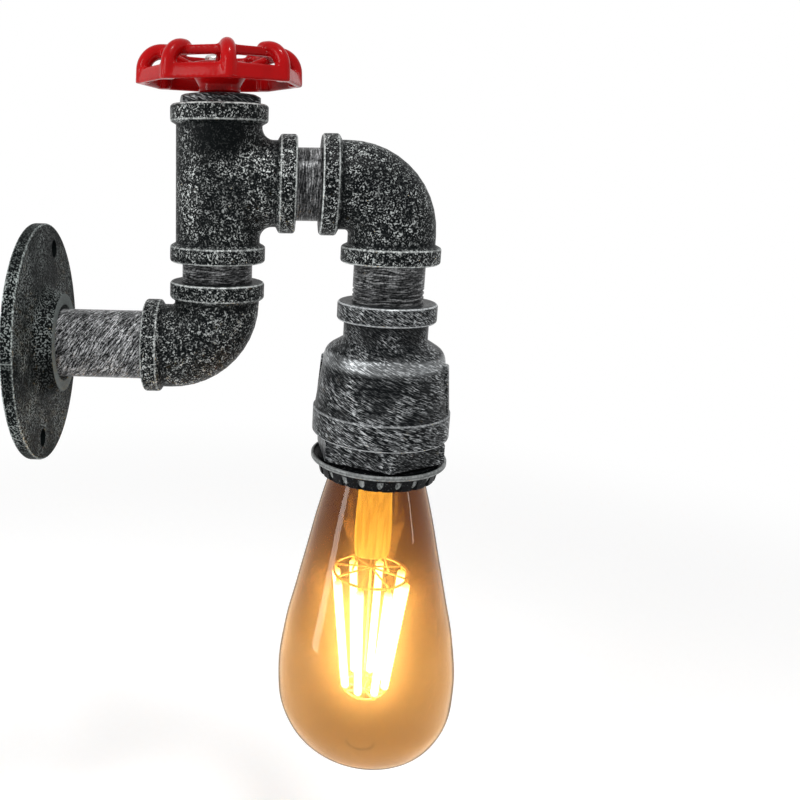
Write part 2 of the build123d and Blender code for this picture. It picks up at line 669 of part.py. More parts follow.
def spindle_washer():
    """Washer between the plug and the wheel's hub."""
    low = PLUG_TOP_Z
    return tube(STEM_WASHER_R, SPINDLE_R + THREAD_PLAY, low, low + STEM_WASHER_T)


def handwheel():
    """Eight-sided cast wheel: skirt, arched ribs at its corners, upper ring, spokes and hub."""
    rim_top = CREST_Z - WHEEL_RIM_DROP
    skirt_top = SKIRT_Z + WHEEL_SKIRT_H

    def skirt(wall):
        """Leaning prism inside the skirt's outline by a wall."""
        foot = Plane.XY.offset(SKIRT_Z) * Rot(0, 0, WHEEL_TURN)
        top = Plane.XY.offset(skirt_top) * Rot(0, 0, WHEEL_TURN)
        outlines = [
            foot * RegularPolygon(WHEEL_CORNER_R - wall, WHEEL_CORNERS),
            top * RegularPolygon(WHEEL_SKIRT_TOP_R - wall, WHEEL_CORNERS),
        ]
        return loft(outlines, ruled=True)

    body = skirt(0) - skirt(WHEEL_SKIRT_T)
    ring_low = rim_top - WHEEL_RIM_H
    ring = prism(WHEEL_CORNERS, WHEEL_RIM_R + WHEEL_RIM_W / 2, ring_low, rim_top, WHEEL_TURN)
    ring -= prism(WHEEL_CORNERS, WHEEL_RIM_R - WHEEL_RIM_W / 2, ring_low, rim_top, WHEEL_TURN)
    body += ring
    rib_z = CREST_Z - WHEEL_RIB_R
    foot_r = WHEEL_CORNER_R - WHEEL_RIB_R
    rib_path = FilletPolyline(
        (foot_r, 0, SKIRT_Z - WHEEL_RIB_R),
        (foot_r - WHEEL_RIB_LEAN, 0, rib_z),
        (WHEEL_RIM_R - WHEEL_RIM_W / 4, 0, rib_z),
        radius=WHEEL_RIB_BEND,
    )
    rib = sweep(Plane(origin=rib_path @ 0, z_dir=rib_path % 0) * Circle(WHEEL_RIB_R), path=rib_path)
    rib += Pos(*(rib_path @ 1)) * Sphere(WHEEL_RIB_R)
    for copy in around(WHEEL_CORNERS, rib, WHEEL_TURN):
        body += copy
    hub_top = HUB_FOOT_Z + WHEEL_HUB_H
    hub = turned(
        (0, HUB_FOOT_Z),
        (WHEEL_HUB_R, HUB_FOOT_Z, EDGE),
        (WHEEL_HUB_R, SKIRT_Z, WHEEL_HUB_ROUND),
        (WHEEL_HUB_TOP_R, hub_top - WHEEL_HUB_HEAD_H, WHEEL_HUB_ROUND),
        (WHEEL_HUB_TOP_R, hub_top, WHEEL_HUB_ROUND / 2),
        (0, hub_top),
    )
    spoke_path = Line(
        (WHEEL_HUB_R - CUT, 0, hub_top - WHEEL_SPOKE_T),
        (WHEEL_RIM_R - CUT, 0, rim_top - WHEEL_SPOKE_T / 2),
    )
    spoke = sweep(
        Plane(origin=spoke_path @ 0, x_dir=(0, 1, 0), z_dir=spoke_path % 0)
        * RectangleRounded(WHEEL_SPOKE_W, WHEEL_SPOKE_T, WHEEL_SPOKE_T / 3),
        path=spoke_path,
    )
    body += hub
    for copy in around(WHEEL_SPOKES, spoke, WHEEL_TURN):
        body += copy
    under = SKIRT_Z - 4 * WHEEL_RIB_R
    body -= tube(2 * WHEEL_CORNER_R, WHEEL_HUB_R + EDGE, under, SKIRT_Z)
    return body - rod(SPINDLE_R + SPINDLE_PLAY, HUB_FOOT_Z - CUT, hub_top + CUT)


def wheel_screw():
    """Slotted screw and washer face on top of the hub."""
    low = HUB_FOOT_Z + WHEEL_HUB_H
    top = low + WHEEL_SCREW_H
    head = turned((0, low), (WHEEL_SCREW_R, low), (WHEEL_SCREW_R, top, WHEEL_SCREW_ROUND), (0, top))
    slot = Pos(0, 0, top) * Box(3 * WHEEL_SCREW_R, WHEEL_SCREW_SLOT, WHEEL_SCREW_H)
    return head - slot


def nodes():
    """Every piece by name, in its place."""
    at_stack = Pos(STACK_X, 0, 0)
    at_drop = Pos(DROP_X, 0, 0)
    insert = SOCKET_DEPTH - SEAT_GAP
    side_x = STACK_X + TEE_SIDE
    cage_top = GLASS_RIM_Z - CAGE_TOP_DROP
    return {
        "wall_flange": wall_flange(),
        "flange_nipple": ALONG_X * pipe(FLANGE_PIPE_BACK, STACK_X - LOWER_ELBOW_SIDE + insert),
        "lower_elbow": at_stack * elbow(LOWER_ELBOW_SIDE, LOWER_ELBOW_END, BAND_R),
        "stack_nipple": at_stack * pipe(LOWER_ELBOW_END - insert, LOWER_ELBOW_END + STACK_SHOW + insert),
        "tee": Pos(STACK_X, 0, TEE_Z) * tee(),
        "arm_nipple": Pos(0, 0, TEE_Z) * ALONG_X * pipe(side_x - insert, side_x + ARM_SHOW + insert),
        "upper_elbow": Pos(DROP_X, 0, TEE_Z)
        * mirror(elbow(UPPER_ELBOW_SIDE, UPPER_ELBOW_END, UPPER_BAND_R), about=Plane.XY),
        "drop_nipple": at_drop * drop_nipple(),
        "bell_reducer": at_drop * bell_reducer(),
        "hex_bushing": at_drop * hex_bushing(),
        "holder_body": at_drop * holder_body(),
        "holder_locknut": at_drop * holder_locknut(),
        "screw_shell": at_drop * screw_shell(),
        "contact_tongue": at_drop * contact_tongue(),
        "terminal_screws": at_drop * terminal_screws(),
        "shade_ring": at_drop * shade_ring(),
        "ring_washer": at_drop * ring_washer(),
        "bulb_glass": at_drop * bulb_glass(),
        "bulb_cap": at_drop * bulb_cap(),
        "bulb_insulator": at_drop * bulb_insulator(),
        "bulb_contact": at_drop * bulb_contact(),
        "bulb_stem": at_drop * bulb_stem(),
        "upper_carrier": at_drop * carrier(CAGE_TOP_R, cage_top),
        "lower_carrier": at_drop * carrier(CAGE_FOOT_R, cage_top - CAGE_L),
        "filament_bars": at_drop * filament_bars(),
        "cage_post": at_drop * cage_post(),
        "top_plug": at_stack * top_plug(),
        "spindle": at_stack * spindle(),
        "spindle_washer": at_stack * spindle_washer(),
        "handwheel": at_stack * handwheel(),
        "wheel_screw": at_stack * wheel_screw(),
    }


if __name__ == "__main__":
    os.makedirs("parts", exist_ok=True)
    for name, piece in nodes().items():
        export_step(piece, f"parts/{name}.step")
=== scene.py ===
"""Looks of an industrial pipe wall light: cast fittings, valve wheel, lampholder and filament lamp.

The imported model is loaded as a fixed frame. Its pieces are dressed here, and the wheel, the
lamp's glass and what is inside it are modelled in full. Lengths are millimetres unless a name
says otherwise, and Blender's own objects are in metres.
"""
import logging
import math
from dataclasses import dataclass
from enum import Enum
from typing import Any, Callable, Sequence

import bpy
from mathutils import Matrix, Vector


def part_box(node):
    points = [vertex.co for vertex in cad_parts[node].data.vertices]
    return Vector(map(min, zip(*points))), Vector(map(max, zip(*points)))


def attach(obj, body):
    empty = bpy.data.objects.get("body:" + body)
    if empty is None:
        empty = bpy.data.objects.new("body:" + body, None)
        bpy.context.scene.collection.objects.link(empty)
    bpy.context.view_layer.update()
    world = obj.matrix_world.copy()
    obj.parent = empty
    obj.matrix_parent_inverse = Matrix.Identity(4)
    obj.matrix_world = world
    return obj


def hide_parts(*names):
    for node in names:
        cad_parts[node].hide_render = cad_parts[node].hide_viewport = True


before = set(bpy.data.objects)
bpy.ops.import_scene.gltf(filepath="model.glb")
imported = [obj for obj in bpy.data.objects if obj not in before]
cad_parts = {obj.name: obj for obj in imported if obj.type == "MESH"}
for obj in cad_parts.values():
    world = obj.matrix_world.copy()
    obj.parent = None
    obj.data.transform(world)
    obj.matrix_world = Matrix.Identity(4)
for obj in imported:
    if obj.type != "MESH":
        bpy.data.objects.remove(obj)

LOG = logging.getLogger("pipe_wall_light")
MM = 0.001
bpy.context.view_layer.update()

Colour = tuple[float, float, float]
Spot = tuple[float, float]


class Axis(Enum):
    """Directions that a fitting's mouth or a pipe can lie along."""

    X = "X"
    Z = "Z"


# ---- shader maths ------------------------------------------------------------------------------


class Wire:
    """A node's output socket on which Python's operators add Math nodes."""

    def __init__(self, sheet: "Sheet", node: bpy.types.Node, socket: bpy.types.NodeSocket | None) -> None:
        """Keeps the sheet, the node and the socket."""
        self.sheet = sheet
        self.node = node
        self.socket = socket

    def __add__(self, other: "Wire | float") -> "Wire":
        """Sum."""
        return self.sheet.maths("ADD", self, other)

    __radd__ = __add__

    def __sub__(self, other: "Wire | float") -> "Wire":
        """Difference."""
        return self.sheet.maths("SUBTRACT", self, other)

    def __rsub__(self, other: float) -> "Wire":
        """Difference from a number."""
        return self.sheet.maths("SUBTRACT", other, self)

    def __mul__(self, other: "Wire | float") -> "Wire":
        """Product."""
        return self.sheet.maths("MULTIPLY", self, other)

    __rmul__ = __mul__

    def __abs__(self) -> "Wire":
        """Size without its sign."""
        return self.sheet.maths("ABSOLUTE", self)

    def high(self, other: "Wire | float") -> "Wire":
        """The larger of two."""
        return self.sheet.maths("MAXIMUM", self, other)

    def low(self, other: "Wire | float") -> "Wire":
        """The smaller of two."""
        return self.sheet.maths("MINIMUM", self, other)

    def between(self, none: float, full: float) -> "Wire":
        """From one number, where this is 0, to another, where it is 1."""
        return self * (full - none) + none


class Sheet:
    """A node tree, and the short ways in which this file adds to it."""

    def __init__(self, tree: bpy.types.NodeTree) -> None:
        """Starts with an empty tree."""
        self.tree = tree
        self.tree.nodes.clear()
        self._place: Wire | None = None
        self._xyz: tuple[Wire, ...] = ()

    def node(
        self,
        kind: str,
        settings: dict[str, Any] | None = None,
        sockets: dict[Any, Any] | None = None,
        out: int | str = 0,
    ) -> Wire:
        """Adds a node.

        Args:
            kind: the node's type, without its ShaderNode prefix.
            settings: its properties, set before its sockets.
            sockets: values or wires for its inputs, by name or number.
            out: which output is wanted.

        Returns:
            The wanted output, or a wire with no socket where the node has none.
        """
        made = self.tree.nodes.new("ShaderNode" + kind)
        for key, value in (settings or {}).items():
            setattr(made, key, value)
        for key, value in (sockets or {}).items():
            if isinstance(value, Wire):
                self.tree.links.new(value.socket, made.inputs[key])
            elif isinstance(value, tuple) and made.inputs[key].type == "RGBA":
                made.inputs[key].default_value = (*value, 1.0)
            else:
                made.inputs[key].default_value = value
        return Wire(self, made, made.outputs[out] if made.outputs else None)

    def maths(self, operation: str, *values: Wire | float) -> Wire:
        """Math node on one, two or three values."""
        return self.node("Math", {"operation": operation}, dict(enumerate(values)))

    @property
    def place(self) -> Wire:
        """Where a point is on the object, in millimetres."""
        if self._place is None:
            metres = self.node("TexCoord", out="Object")
            self._place = self.node("VectorMath", {"operation": "SCALE"}, {0: metres, "Scale": 1 / MM})
        return self._place

    @property
    def xyz(self) -> tuple[Wire, ...]:
        """The three parts of the place."""
        if not self._xyz:
            node = self.node("SeparateXYZ", None, {0: self.place}).node
            self._xyz = tuple(Wire(self, node, socket) for socket in node.outputs)
        return self._xyz

    def length(self, first: Wire, second: Wire) -> Wire:
        """Length of two sides at a right angle, taken together."""
        return self.maths("SQRT", first * first + second * second)

    def noise(
        self, place: Wire, per_mm: float, detail: float = 2.0, rough: float = 0.5, warp: float = 0.0
    ) -> Wire:
        """Noise of so many lumps to the millimetre, from 0 to 1 about a half."""
        sockets = {"Vector": place, "Scale": per_mm, "Detail": detail, "Roughness": rough, "Distortion": warp}
        return self.node("TexNoise", None, sockets)

    def step(self, value: Wire, low: float, high: float) -> Wire:
        """Soft step from 0 at low to 1 at high."""
        sockets = {"Value": value, "From Min": low, "From Max": high}
        return self.node("MapRange", {"interpolation_type": "SMOOTHSTEP"}, sockets)

    def unrolled(self, axis: Axis, centre: Spot, radius: float) -> Wire:
        """A round body's surface laid flat, its seam at the back.

        Args:
            axis: the body's direction.
            centre: where its axis passes, as the other two coordinates in their order.
            radius: at which the way round is measured.

        Returns:
            The way round, the way along and the distance from the axis, as one vector.
        """
        x, y, z = self.xyz
        if axis is Axis.Z:
            across, deep, along = x - centre[0], y - centre[1], z
        else:
            across, deep, along = z - centre[1], y - centre[0], x
        turn = self.maths("ARCTAN2", across, deep * -1.0)
        return self.node("CombineXYZ", None, {0: turn * radius, 1: along, 2: self.length(across, deep)})

    def blend(self, share: Wire | float, first: Any, second: Any) -> Wire:
        """Colour between two, by a share of the second."""
        return self.node("Mix", {"data_type": "RGBA"}, {0: share, 6: first, 7: second}, out=2)

    def bump(self, height: Wire, depth: float, strength: float = 1.0) -> Wire:
        """Normal that stands for a relief of the depth given, in millimetres."""
        return self.node("Bump", None, {"Height": height, "Distance": depth * MM, "Strength": strength})

    def mixed(self, share: Wire | float, first: Wire, second: Wire) -> Wire:
        """Shader between two, by a share of the second."""
        return self.node("MixShader", None, {0: share, 1: first, 2: second})

    def surface(self, **sockets: Any) -> Wire:
        """Principled shader, with its sockets by their names, underscores for spaces."""
        named = {key.replace("_", " "): value for key, value in sockets.items()}
        return self.node("BsdfPrincipled", None, named)

    def seen_or_mirrored(self) -> Wire:
        """1 where the camera looks, straight or by way of glass or gloss, and 0 for lighting."""
        path = self.node("LightPath").node.outputs
        camera, through, gloss = (
            Wire(self, path[name].node, path[name])
            for name in ("Is Camera Ray", "Is Transmission Ray", "Is Glossy Ray")
        )
        return camera.high(through).high(gloss)


# ---- where brushing and wear have left bare metal, and where corners get painted shade -----------


@dataclass(frozen=True)
class Band:
    """A round band about an axis, whose two rims have been rubbed bright.

    Attributes:
        axis: the band's direction.
        centre: where its axis passes, as the other two coordinates in their order.
        radius: of the band.
        low: its first rim along the axis.
        high: its second rim.
        inset: from the sharp corner in to the middle of its rounding.
    """

    axis: Axis
    centre: Spot
    radius: float
    low: float
    high: float
    inset: float = 0.35

    def measured(self, sheet: Sheet) -> tuple[Wire, Wire]:
        """How far a point is outside the band's corners, across and along its axis."""
        x, y, z = sheet.xyz
        along, first, second = (x, y, z) if self.axis is Axis.X else (z, x, y)
        out = sheet.length(first - self.centre[0], second - self.centre[1]) - (self.radius - self.inset)
        half = (self.high - self.low) / 2 - self.inset
        return out, abs(along - (self.low + self.high) / 2) - half

    def rims(self, sheet: Sheet, reach: float) -> Wire:
        """Share of rubbing, 1 on a rim and 0 from the reach on."""
        out, off = self.measured(sheet)
        return 1 - sheet.step(sheet.length(out, off), 0.2 * reach, reach)

    def face(self, sheet: Sheet) -> Wire:
        """1 on the band's outer face, and 0 elsewhere."""
        out, off = self.measured(sheet)
        return sheet.step(out, -0.3, 0.1) * (1 - sheet.step(off, -0.2, 0.3))

    def corner(self, sheet: Sheet) -> Wire:
        """1 in the corner where body meets band, which a brush misses and where shade is painted; 0
        elsewhere.
        """
        out, off = self.measured(sheet)
        return (1 - sheet.step(off, 0.8, 4.5)) * (1 - sheet.step(out, -1.6, -0.9))


@dataclass(frozen=True)
class Patch:
    """A place that the brush went over more than the rest, or less.

    Attributes:
        middle: of the patch, in millimetres.
        reach: half of its size along each axis.
    """

    middle: tuple[float, float, float]
    reach: tuple[float, float, float]

    def share(self, sheet: Sheet) -> Wire:
        """1 in the patch's middle, falling to 0 at its edge."""
        sockets = {"Vector": sheet.place, "Location": self.middle, "Scale": self.reach}
        near = sheet.node("Mapping", {"vector_type": "TEXTURE"}, sockets)
        off = sheet.node("VectorMath", {"operation": "LENGTH"}, {0: near}, out="Value")
        return 1 - sheet.step(off, 0.35, 1.0)


def most(parts: Sequence[Wire]) -> Wire | float:
    """The largest of several shares, or 0 where there are none."""
    share: Wire | float = 0.0
    for part in parts:
        share = part.high(share)
    return share


# ---- finishes --------------------------------------------------------------------------------------


@dataclass(frozen=True)
class Lumps:
    """Noise in lumps, pulled apart to 0 below one level and 1 above another.

    Attributes:
        per_mm: how many lumps to the millimetre.
        low: level of the noise up to which there is nothing.
        high: level from which there is all.
        detail: of the noise.
        rough: how strong the detail is.
        warp: how far the noise is pulled about.
    """

    per_mm: float
    low: float
    high: float
    detail: float = 2.0
    rough: float = 0.5
    warp: float = 0.0

    def raw(self, sheet: Sheet) -> Wire:
        """The noise itself."""
        return sheet.noise(sheet.place, self.per_mm, self.detail, self.rough, self.warp)

    def on(self, sheet: Sheet) -> Wire:
        """Share of the lumps, from 0 to 1."""
        return sheet.step(self.raw(sheet), self.low, self.high)


@dataclass(frozen=True)
class Strokes:
    """Noise drawn out into strokes, pulled apart as Lumps are.

    Attributes:
        length: of a stroke.
        width: of a stroke.
        low: level of the noise up to which there is nothing.
        high: level from which there is all.
        detail: of the noise.
        turn: of the strokes beyond the slant that is asked for, in degrees.
    """

    length: float
    width: float
    low: float
    high: float
    detail: float = 1.0
    turn: float = 0.0

    def on(self, sheet: Sheet, flat: Wire, slant: float) -> Wire:
        """Share of the strokes.

        Args:
            sheet: to add to.
            flat: the surface laid flat.
            slant: of the strokes, in degrees from the way round towards the way along.

        Returns:
            From 0 to 1.
        """
        rotation = (0.0, 0.0, math.radians(slant + self.turn))
        sockets = {"Vector": flat, "Rotation": rotation, "Scale": (self.length, self.width, 1.0)}
        drawn = sheet.node("Mapping", {"vector_type": "TEXTURE"}, sockets)
        return sheet.step(sheet.noise(drawn, 1.0, self.detail), self.low, self.high)


@dataclass(frozen=True)
class Finish:
    """A named finish that can be laid on any piece.

    Attributes:
        name: the material's name.
        bands: bands whose rims are rubbed bright.
        rim_reach: how far from a rim the rubbing goes.
    """

    name: str
    bands: tuple[Band, ...] = ()
    rim_reach: float = 0.55

    def make(self) -> bpy.types.Material:
        """The finish as a material."""
        material = bpy.data.materials.new(self.name)
        material.use_nodes = True
        sheet = Sheet(material.node_tree)
        sheet.node("OutputMaterial", None, {"Surface": self.paint(sheet)})
        return material

    def rims(self, sheet: Sheet) -> Wire | float:
        """Rims of all the bands together."""
        return most([band.rims(sheet, self.rim_reach) for band in self.bands])

    def paint(self, sheet: Sheet) -> Wire:
        """The shader. Each finish has its own."""
        raise NotImplementedError


@dataclass(frozen=True)
class DryBrushed(Finish):
    """Black skin over which a brush with hardly any silver paint has gone.

    Attributes:
        cover: least share of the silver on the body.
        full: share of it where the brush came most.
        on_faces: least and most share on the bands' faces.
        corner_darkening: share of silver taken out in the corners beside the bands, as brush misses and
            painted shade.
        cloud: where there is more silver and where less.
    """

    cover: float = 0.30
    full: float = 0.75
    on_faces: Spot = (0.55, 0.90)
    corner_darkening: float = 0.85
    cloud: Lumps = Lumps(0.09, 0.36, 0.62, 2.5)

    def more(self, sheet: Sheet) -> Wire | float:
        """Least share where more silver is laid, such as on a shoulder band that also carries a painted
        highlight.
        """
        return 0.0

    def kept(self, sheet: Sheet) -> Wire | float:
        """1 where the brush came at all."""
        return 1.0

    def laid(self, sheet: Sheet) -> Wire:
        """How much silver the brush left, from 0 to 1, with less in the corners beside the bands as painted
        shade.
        """
        cloud = self.cloud.on(sheet)
        body = cloud.between(self.cover, self.full).high(self.more(sheet)) * self.kept(sheet)
        corners = most([band.corner(sheet) for band in self.bands])
        faces = most([band.face(sheet) for band in self.bands])
        # Painted shade: silver is taken out of the corners beside the bands, which the brush also misses.
        return (body * (1 - self.corner_darkening * corners)).high(faces * cloud.between(*self.on_faces))


@dataclass(frozen=True)
class CastGrain(DryBrushed):
    """Sand-cast skin whose raised grain the brush has caught.

    Attributes:
        rubbed: places with more silver than the rest.
        missed: places with hardly any.
        worms: thin worm-like flecks of the raised grain.
        breaks: lumps that the flecks are broken up by.
    """

    rubbed: tuple[Patch, ...] = ()
    missed: tuple[Patch, ...] = ()
    worms: Lumps = Lumps(1.75, 0.51, 0.65, 0.3, 0.5, 0.6)
    breaks: Lumps = Lumps(0.55, 0.38, 0.60)
    black: Colour = (0.0016, 0.0026, 0.0030)
    silver: Colour = (0.55, 0.58, 0.57)

    def more(self, sheet: Sheet) -> Wire | float:
        """The rubbed places."""
        return most([patch.share(sheet) for patch in self.rubbed])

    def kept(self, sheet: Sheet) -> Wire | float:
        """All but the missed places."""
        return 1 - most([patch.share(sheet) for patch in self.missed])

    def paint(self, sheet: Sheet) -> Wire:
        """Worm-like flecks, thinned out by the cover, over black."""
        worms, broken = self.worms.on(sheet), self.breaks.on(sheet)
        fleck = worms * broken.between(0.12, 1.0) * self.laid(sheet).between(0.04, 1.0)
        rubbing = self.rims(sheet) * worms.high(broken).between(0.30, 0.85)
        bright = (fleck + rubbing).low(1.0)
        return sheet.surface(
            Base_Color=sheet.blend(bright, self.black, self.silver),
            Metallic=bright * 0.16,
            Roughness=bright.between(0.42, 0.36),
            Specular_IOR_Level=0.04,
            Normal=sheet.bump(worms + broken * 0.5, 0.16, 0.6),
        )


@dataclass(frozen=True)
class BrushedIron(DryBrushed):
    """Smooth iron with the silver laid on in slanting strokes.

    Attributes:
        centre: of the round body that the strokes go about.
        radius: of that body.
        slant: of the strokes, in degrees up from the level.
        shoulder: lowest and highest place of the shoulder band, which gets more silver and a painted
            highlight.
        shoulder_fade: how far that band runs out below and above it.
        strokes: the brush's strokes.
        hairs: thinner ones of single hairs.
        pits: that break the strokes up.
    """

    cover: float = 0.12
    full: float = 0.8
    corner_darkening: float = 0.7
    cloud: Lumps = Lumps(0.11, 0.40, 0.60, 2.5)
    centre: Spot = (0.0, 0.0)
    radius: float = 26.0
    slant: float = -22.0
    shoulder: Spot | None = None
    shoulder_fade: Spot = (3.0, 1.5)
    strokes: Strokes = Strokes(3.4, 0.40, 0.52, 0.66)
    hairs: Strokes = Strokes(2.0, 0.32, 0.50, 0.68, 0.5, 9.0)
    pits: Lumps = Lumps(1.1, 0.34, 0.58, 0.5)
    black: Colour = (0.0016, 0.0024, 0.0030)
    silver: Colour = (0.47, 0.49, 0.50)

    def shoulder_silver_and_highlight(self, sheet: Sheet) -> Wire | float:
        """1 on the shoulder band that gets more silver and a painted highlight, and 0 elsewhere."""
        if not self.shoulder:
            return 0.0
        z = sheet.xyz[2]
        (low, high), (below, above) = self.shoulder, self.shoulder_fade
        return sheet.step(z, low - below, low) * (1 - sheet.step(z, high, high + above))

    def more(self, sheet: Sheet) -> Wire | float:
        """The shoulder band: more silver there, and a painted highlight."""
        return self.shoulder_silver_and_highlight(sheet) * self.full

    def paint(self, sheet: Sheet) -> Wire:
        """Strokes of two sizes broken by pits, thinned by the cover, over black; a painted highlight on the
        shoulder.
        """
        flat = sheet.unrolled(Axis.Z, self.centre, self.radius)
        strokes, hairs = (kind.on(sheet, flat, self.slant) for kind in (self.strokes, self.hairs))
        pits = self.pits.on(sheet)
        streak = strokes * pits.between(0.3, 1.0) + 0.3 * hairs
        rubbing = self.rims(sheet) * pits.between(0.5, 1.0)
        bright = (streak * self.laid(sheet).between(0.06, 1.0) + rubbing).low(1.0)
        # Painted highlight: the shoulder band is made paler and more metallic in place of a lamp's
        # reflection.
        painted_highlight = self.shoulder_silver_and_highlight(sheet)
        return sheet.surface(
            Base_Color=sheet.blend((bright + 0.22 * painted_highlight).low(1.0), self.black, self.silver),
            Metallic=bright * 0.2 + 0.7 * painted_highlight,
            Roughness=pits.between(0.30, 0.38),
            Specular_IOR_Level=0.05,
            Normal=sheet.bump(pits * 0.5 + strokes, 0.05, 0.5),
        )


@dataclass(frozen=True)
class SandyIron(Finish):
    """Matt black-green flange skin with fine sand, casting lines and a paler hub face.

    Attributes:
        hub_face: how far out of the wall the hub's face is.
        holes: the screw holes' middles, as (y, z).
        hole_radius: at the surface.
        sand: grains of the skin.
        cloud: where there are more of them and where fewer.
        lines: long casting lines.
        line_slant: of the lines, in degrees.
    """

    hub_face: float = 11.4
    holes: tuple[Spot, ...] = ()
    hole_radius: float = 4.0
    sand: Lumps = Lumps(1.6, 0.50, 0.65, 0.4, 0.5, 0.4)
    cloud: Lumps = Lumps(0.06, 0.36, 0.64)
    lines: Strokes = Strokes(26.0, 0.9, 0.68, 0.72)
    line_slant: float = 62.0
    black: Colour = (0.0016, 0.0026, 0.0027)
    pale: Colour = (0.38, 0.42, 0.41)
    face_colour: Colour = (0.155, 0.175, 0.17)

    def open(self, sheet: Sheet) -> Wire | float:
        """1 in the screw holes."""
        _, y, z = sheet.xyz
        return most([
            1 - sheet.step(sheet.length(y - across, z - up), self.hole_radius - 0.3, self.hole_radius)
            for across, up in self.holes
        ])

    def paint(self, sheet: Sheet) -> Wire:
        """Fine sand, a few long lines, black screw holes and a machined face."""
        x, y, z = sheet.xyz
        sand, cloud = self.sand.raw(sheet), self.cloud.on(sheet)
        grains = sheet.step(sand, self.sand.low, self.sand.high)
        lines = self.lines.on(sheet, sheet.node("CombineXYZ", None, {0: y, 1: z}), self.line_slant)
        rubbing = self.rims(sheet) * grains.between(0.3, 1.0)
        bright = (grains * cloud.between(0.12, 0.52) + 0.3 * lines + 0.9 * rubbing).low(1.0)
        skin = sheet.blend(bright * (1 - self.open(sheet)), self.black, self.pale)
        face = sheet.step(x, self.hub_face - 0.3, self.hub_face - 0.05)
        return sheet.surface(
            Base_Color=sheet.blend(face * grains.between(0.75, 1.0), skin, self.face_colour),
            Metallic=bright * 0.2,
            Roughness=bright.between(0.56, 0.48),
            Specular_IOR_Level=0.02,
            Normal=sheet.bump(sand + 0.5 * lines, 0.12, 0.5),
        )


@dataclass(frozen=True)
class DrawnPipe(Finish):
    """Dark gunmetal pipe with silver streaks round it or aslant.

    Attributes:
        axis: of the pipe.
        centre: where the axis passes.
        radius: of the pipe.
        slant: of the streaks, in degrees from the way round.
        streaks: the longer ones.
        fine: the finer ones.
        wear: most share of the silver.
        grain: pits in the streaks.
        cloud: where there is more silver and where less.
    """

    axis: Axis = Axis.Z
    centre: Spot = (0.0, 0.0)
    radius: float = 13.4
    slant: float = 0.0
    streaks: Strokes = Strokes(5.0, 0.40, 0.49, 0.65)
    fine: Strokes = Strokes(2.0, 0.28, 0.50, 0.68, turn=5.0)
    wear: float = 0.55
    grain: Lumps = Lumps(1.6, 0.42, 0.64, 0.5)
    cloud: Lumps = Lumps(0.14, 0.32, 0.66)
    dark: Colour = (0.0036, 0.0042, 0.0048)
    silver: Colour = (0.62, 0.63, 0.64)

    def paint(self, sheet: Sheet) -> Wire:
        """Streaks of two widths and fine grain over worn gunmetal."""
        flat = sheet.unrolled(self.axis, self.centre, self.radius)
        streaks, fine = (kind.on(sheet, flat, self.slant) for kind in (self.streaks, self.fine))
        grain, cloud = self.grain.on(sheet), self.cloud.on(sheet)
        laid = cloud.between(0.45, 1.0) * self.wear
        bright = ((streaks * grain.between(0.4, 1.0) + 0.5 * fine + 0.12 * grain) * laid).low(1.0)
        return sheet.surface(
            Base_Color=sheet.blend(bright, self.dark, self.silver),
            Metallic=0.20,
            Roughness=cloud.between(0.30, 0.38),
            Specular_IOR_Level=0.06,
            Normal=sheet.bump(streaks + 0.5 * grain, 0.035, 0.45),
        )


@dataclass(frozen=True)
class Enamel(Finish):
    """Thick gloss red enamel over a casting.

    Attributes:
        cloud: where it lies deeper.
        dust: specks under it.
        peel: ripples of its surface to the millimetre.
    """

    cloud: Lumps = Lumps(0.10, 0.35, 0.75)
    dust: Lumps = Lumps(1.5, 0.69, 0.74)
    peel: float = 0.45
    red: Colour = (0.33, 0.0020, 0.0028)
    deep: Colour = (0.21, 0.0012, 0.0018)

    def paint(self, sheet: Sheet) -> Wire:
        """Slight orange peel, deeper in patches."""
        cloud, dust = self.cloud.on(sheet), self.dust.on(sheet)
        peel = sheet.noise(sheet.place, self.peel, 2.0, 0.45)
        return sheet.surface(
            Base_Color=sheet.blend(cloud * 0.45, self.red, self.deep),
            Roughness=cloud.between(0.20, 0.28) + 0.2 * dust,
            Specular_IOR_Level=0.06,
            Coat_Weight=0.07,
            Coat_Roughness=0.06,
            Normal=sheet.bump(peel + 0.3 * dust, 0.14, 0.4),
        )


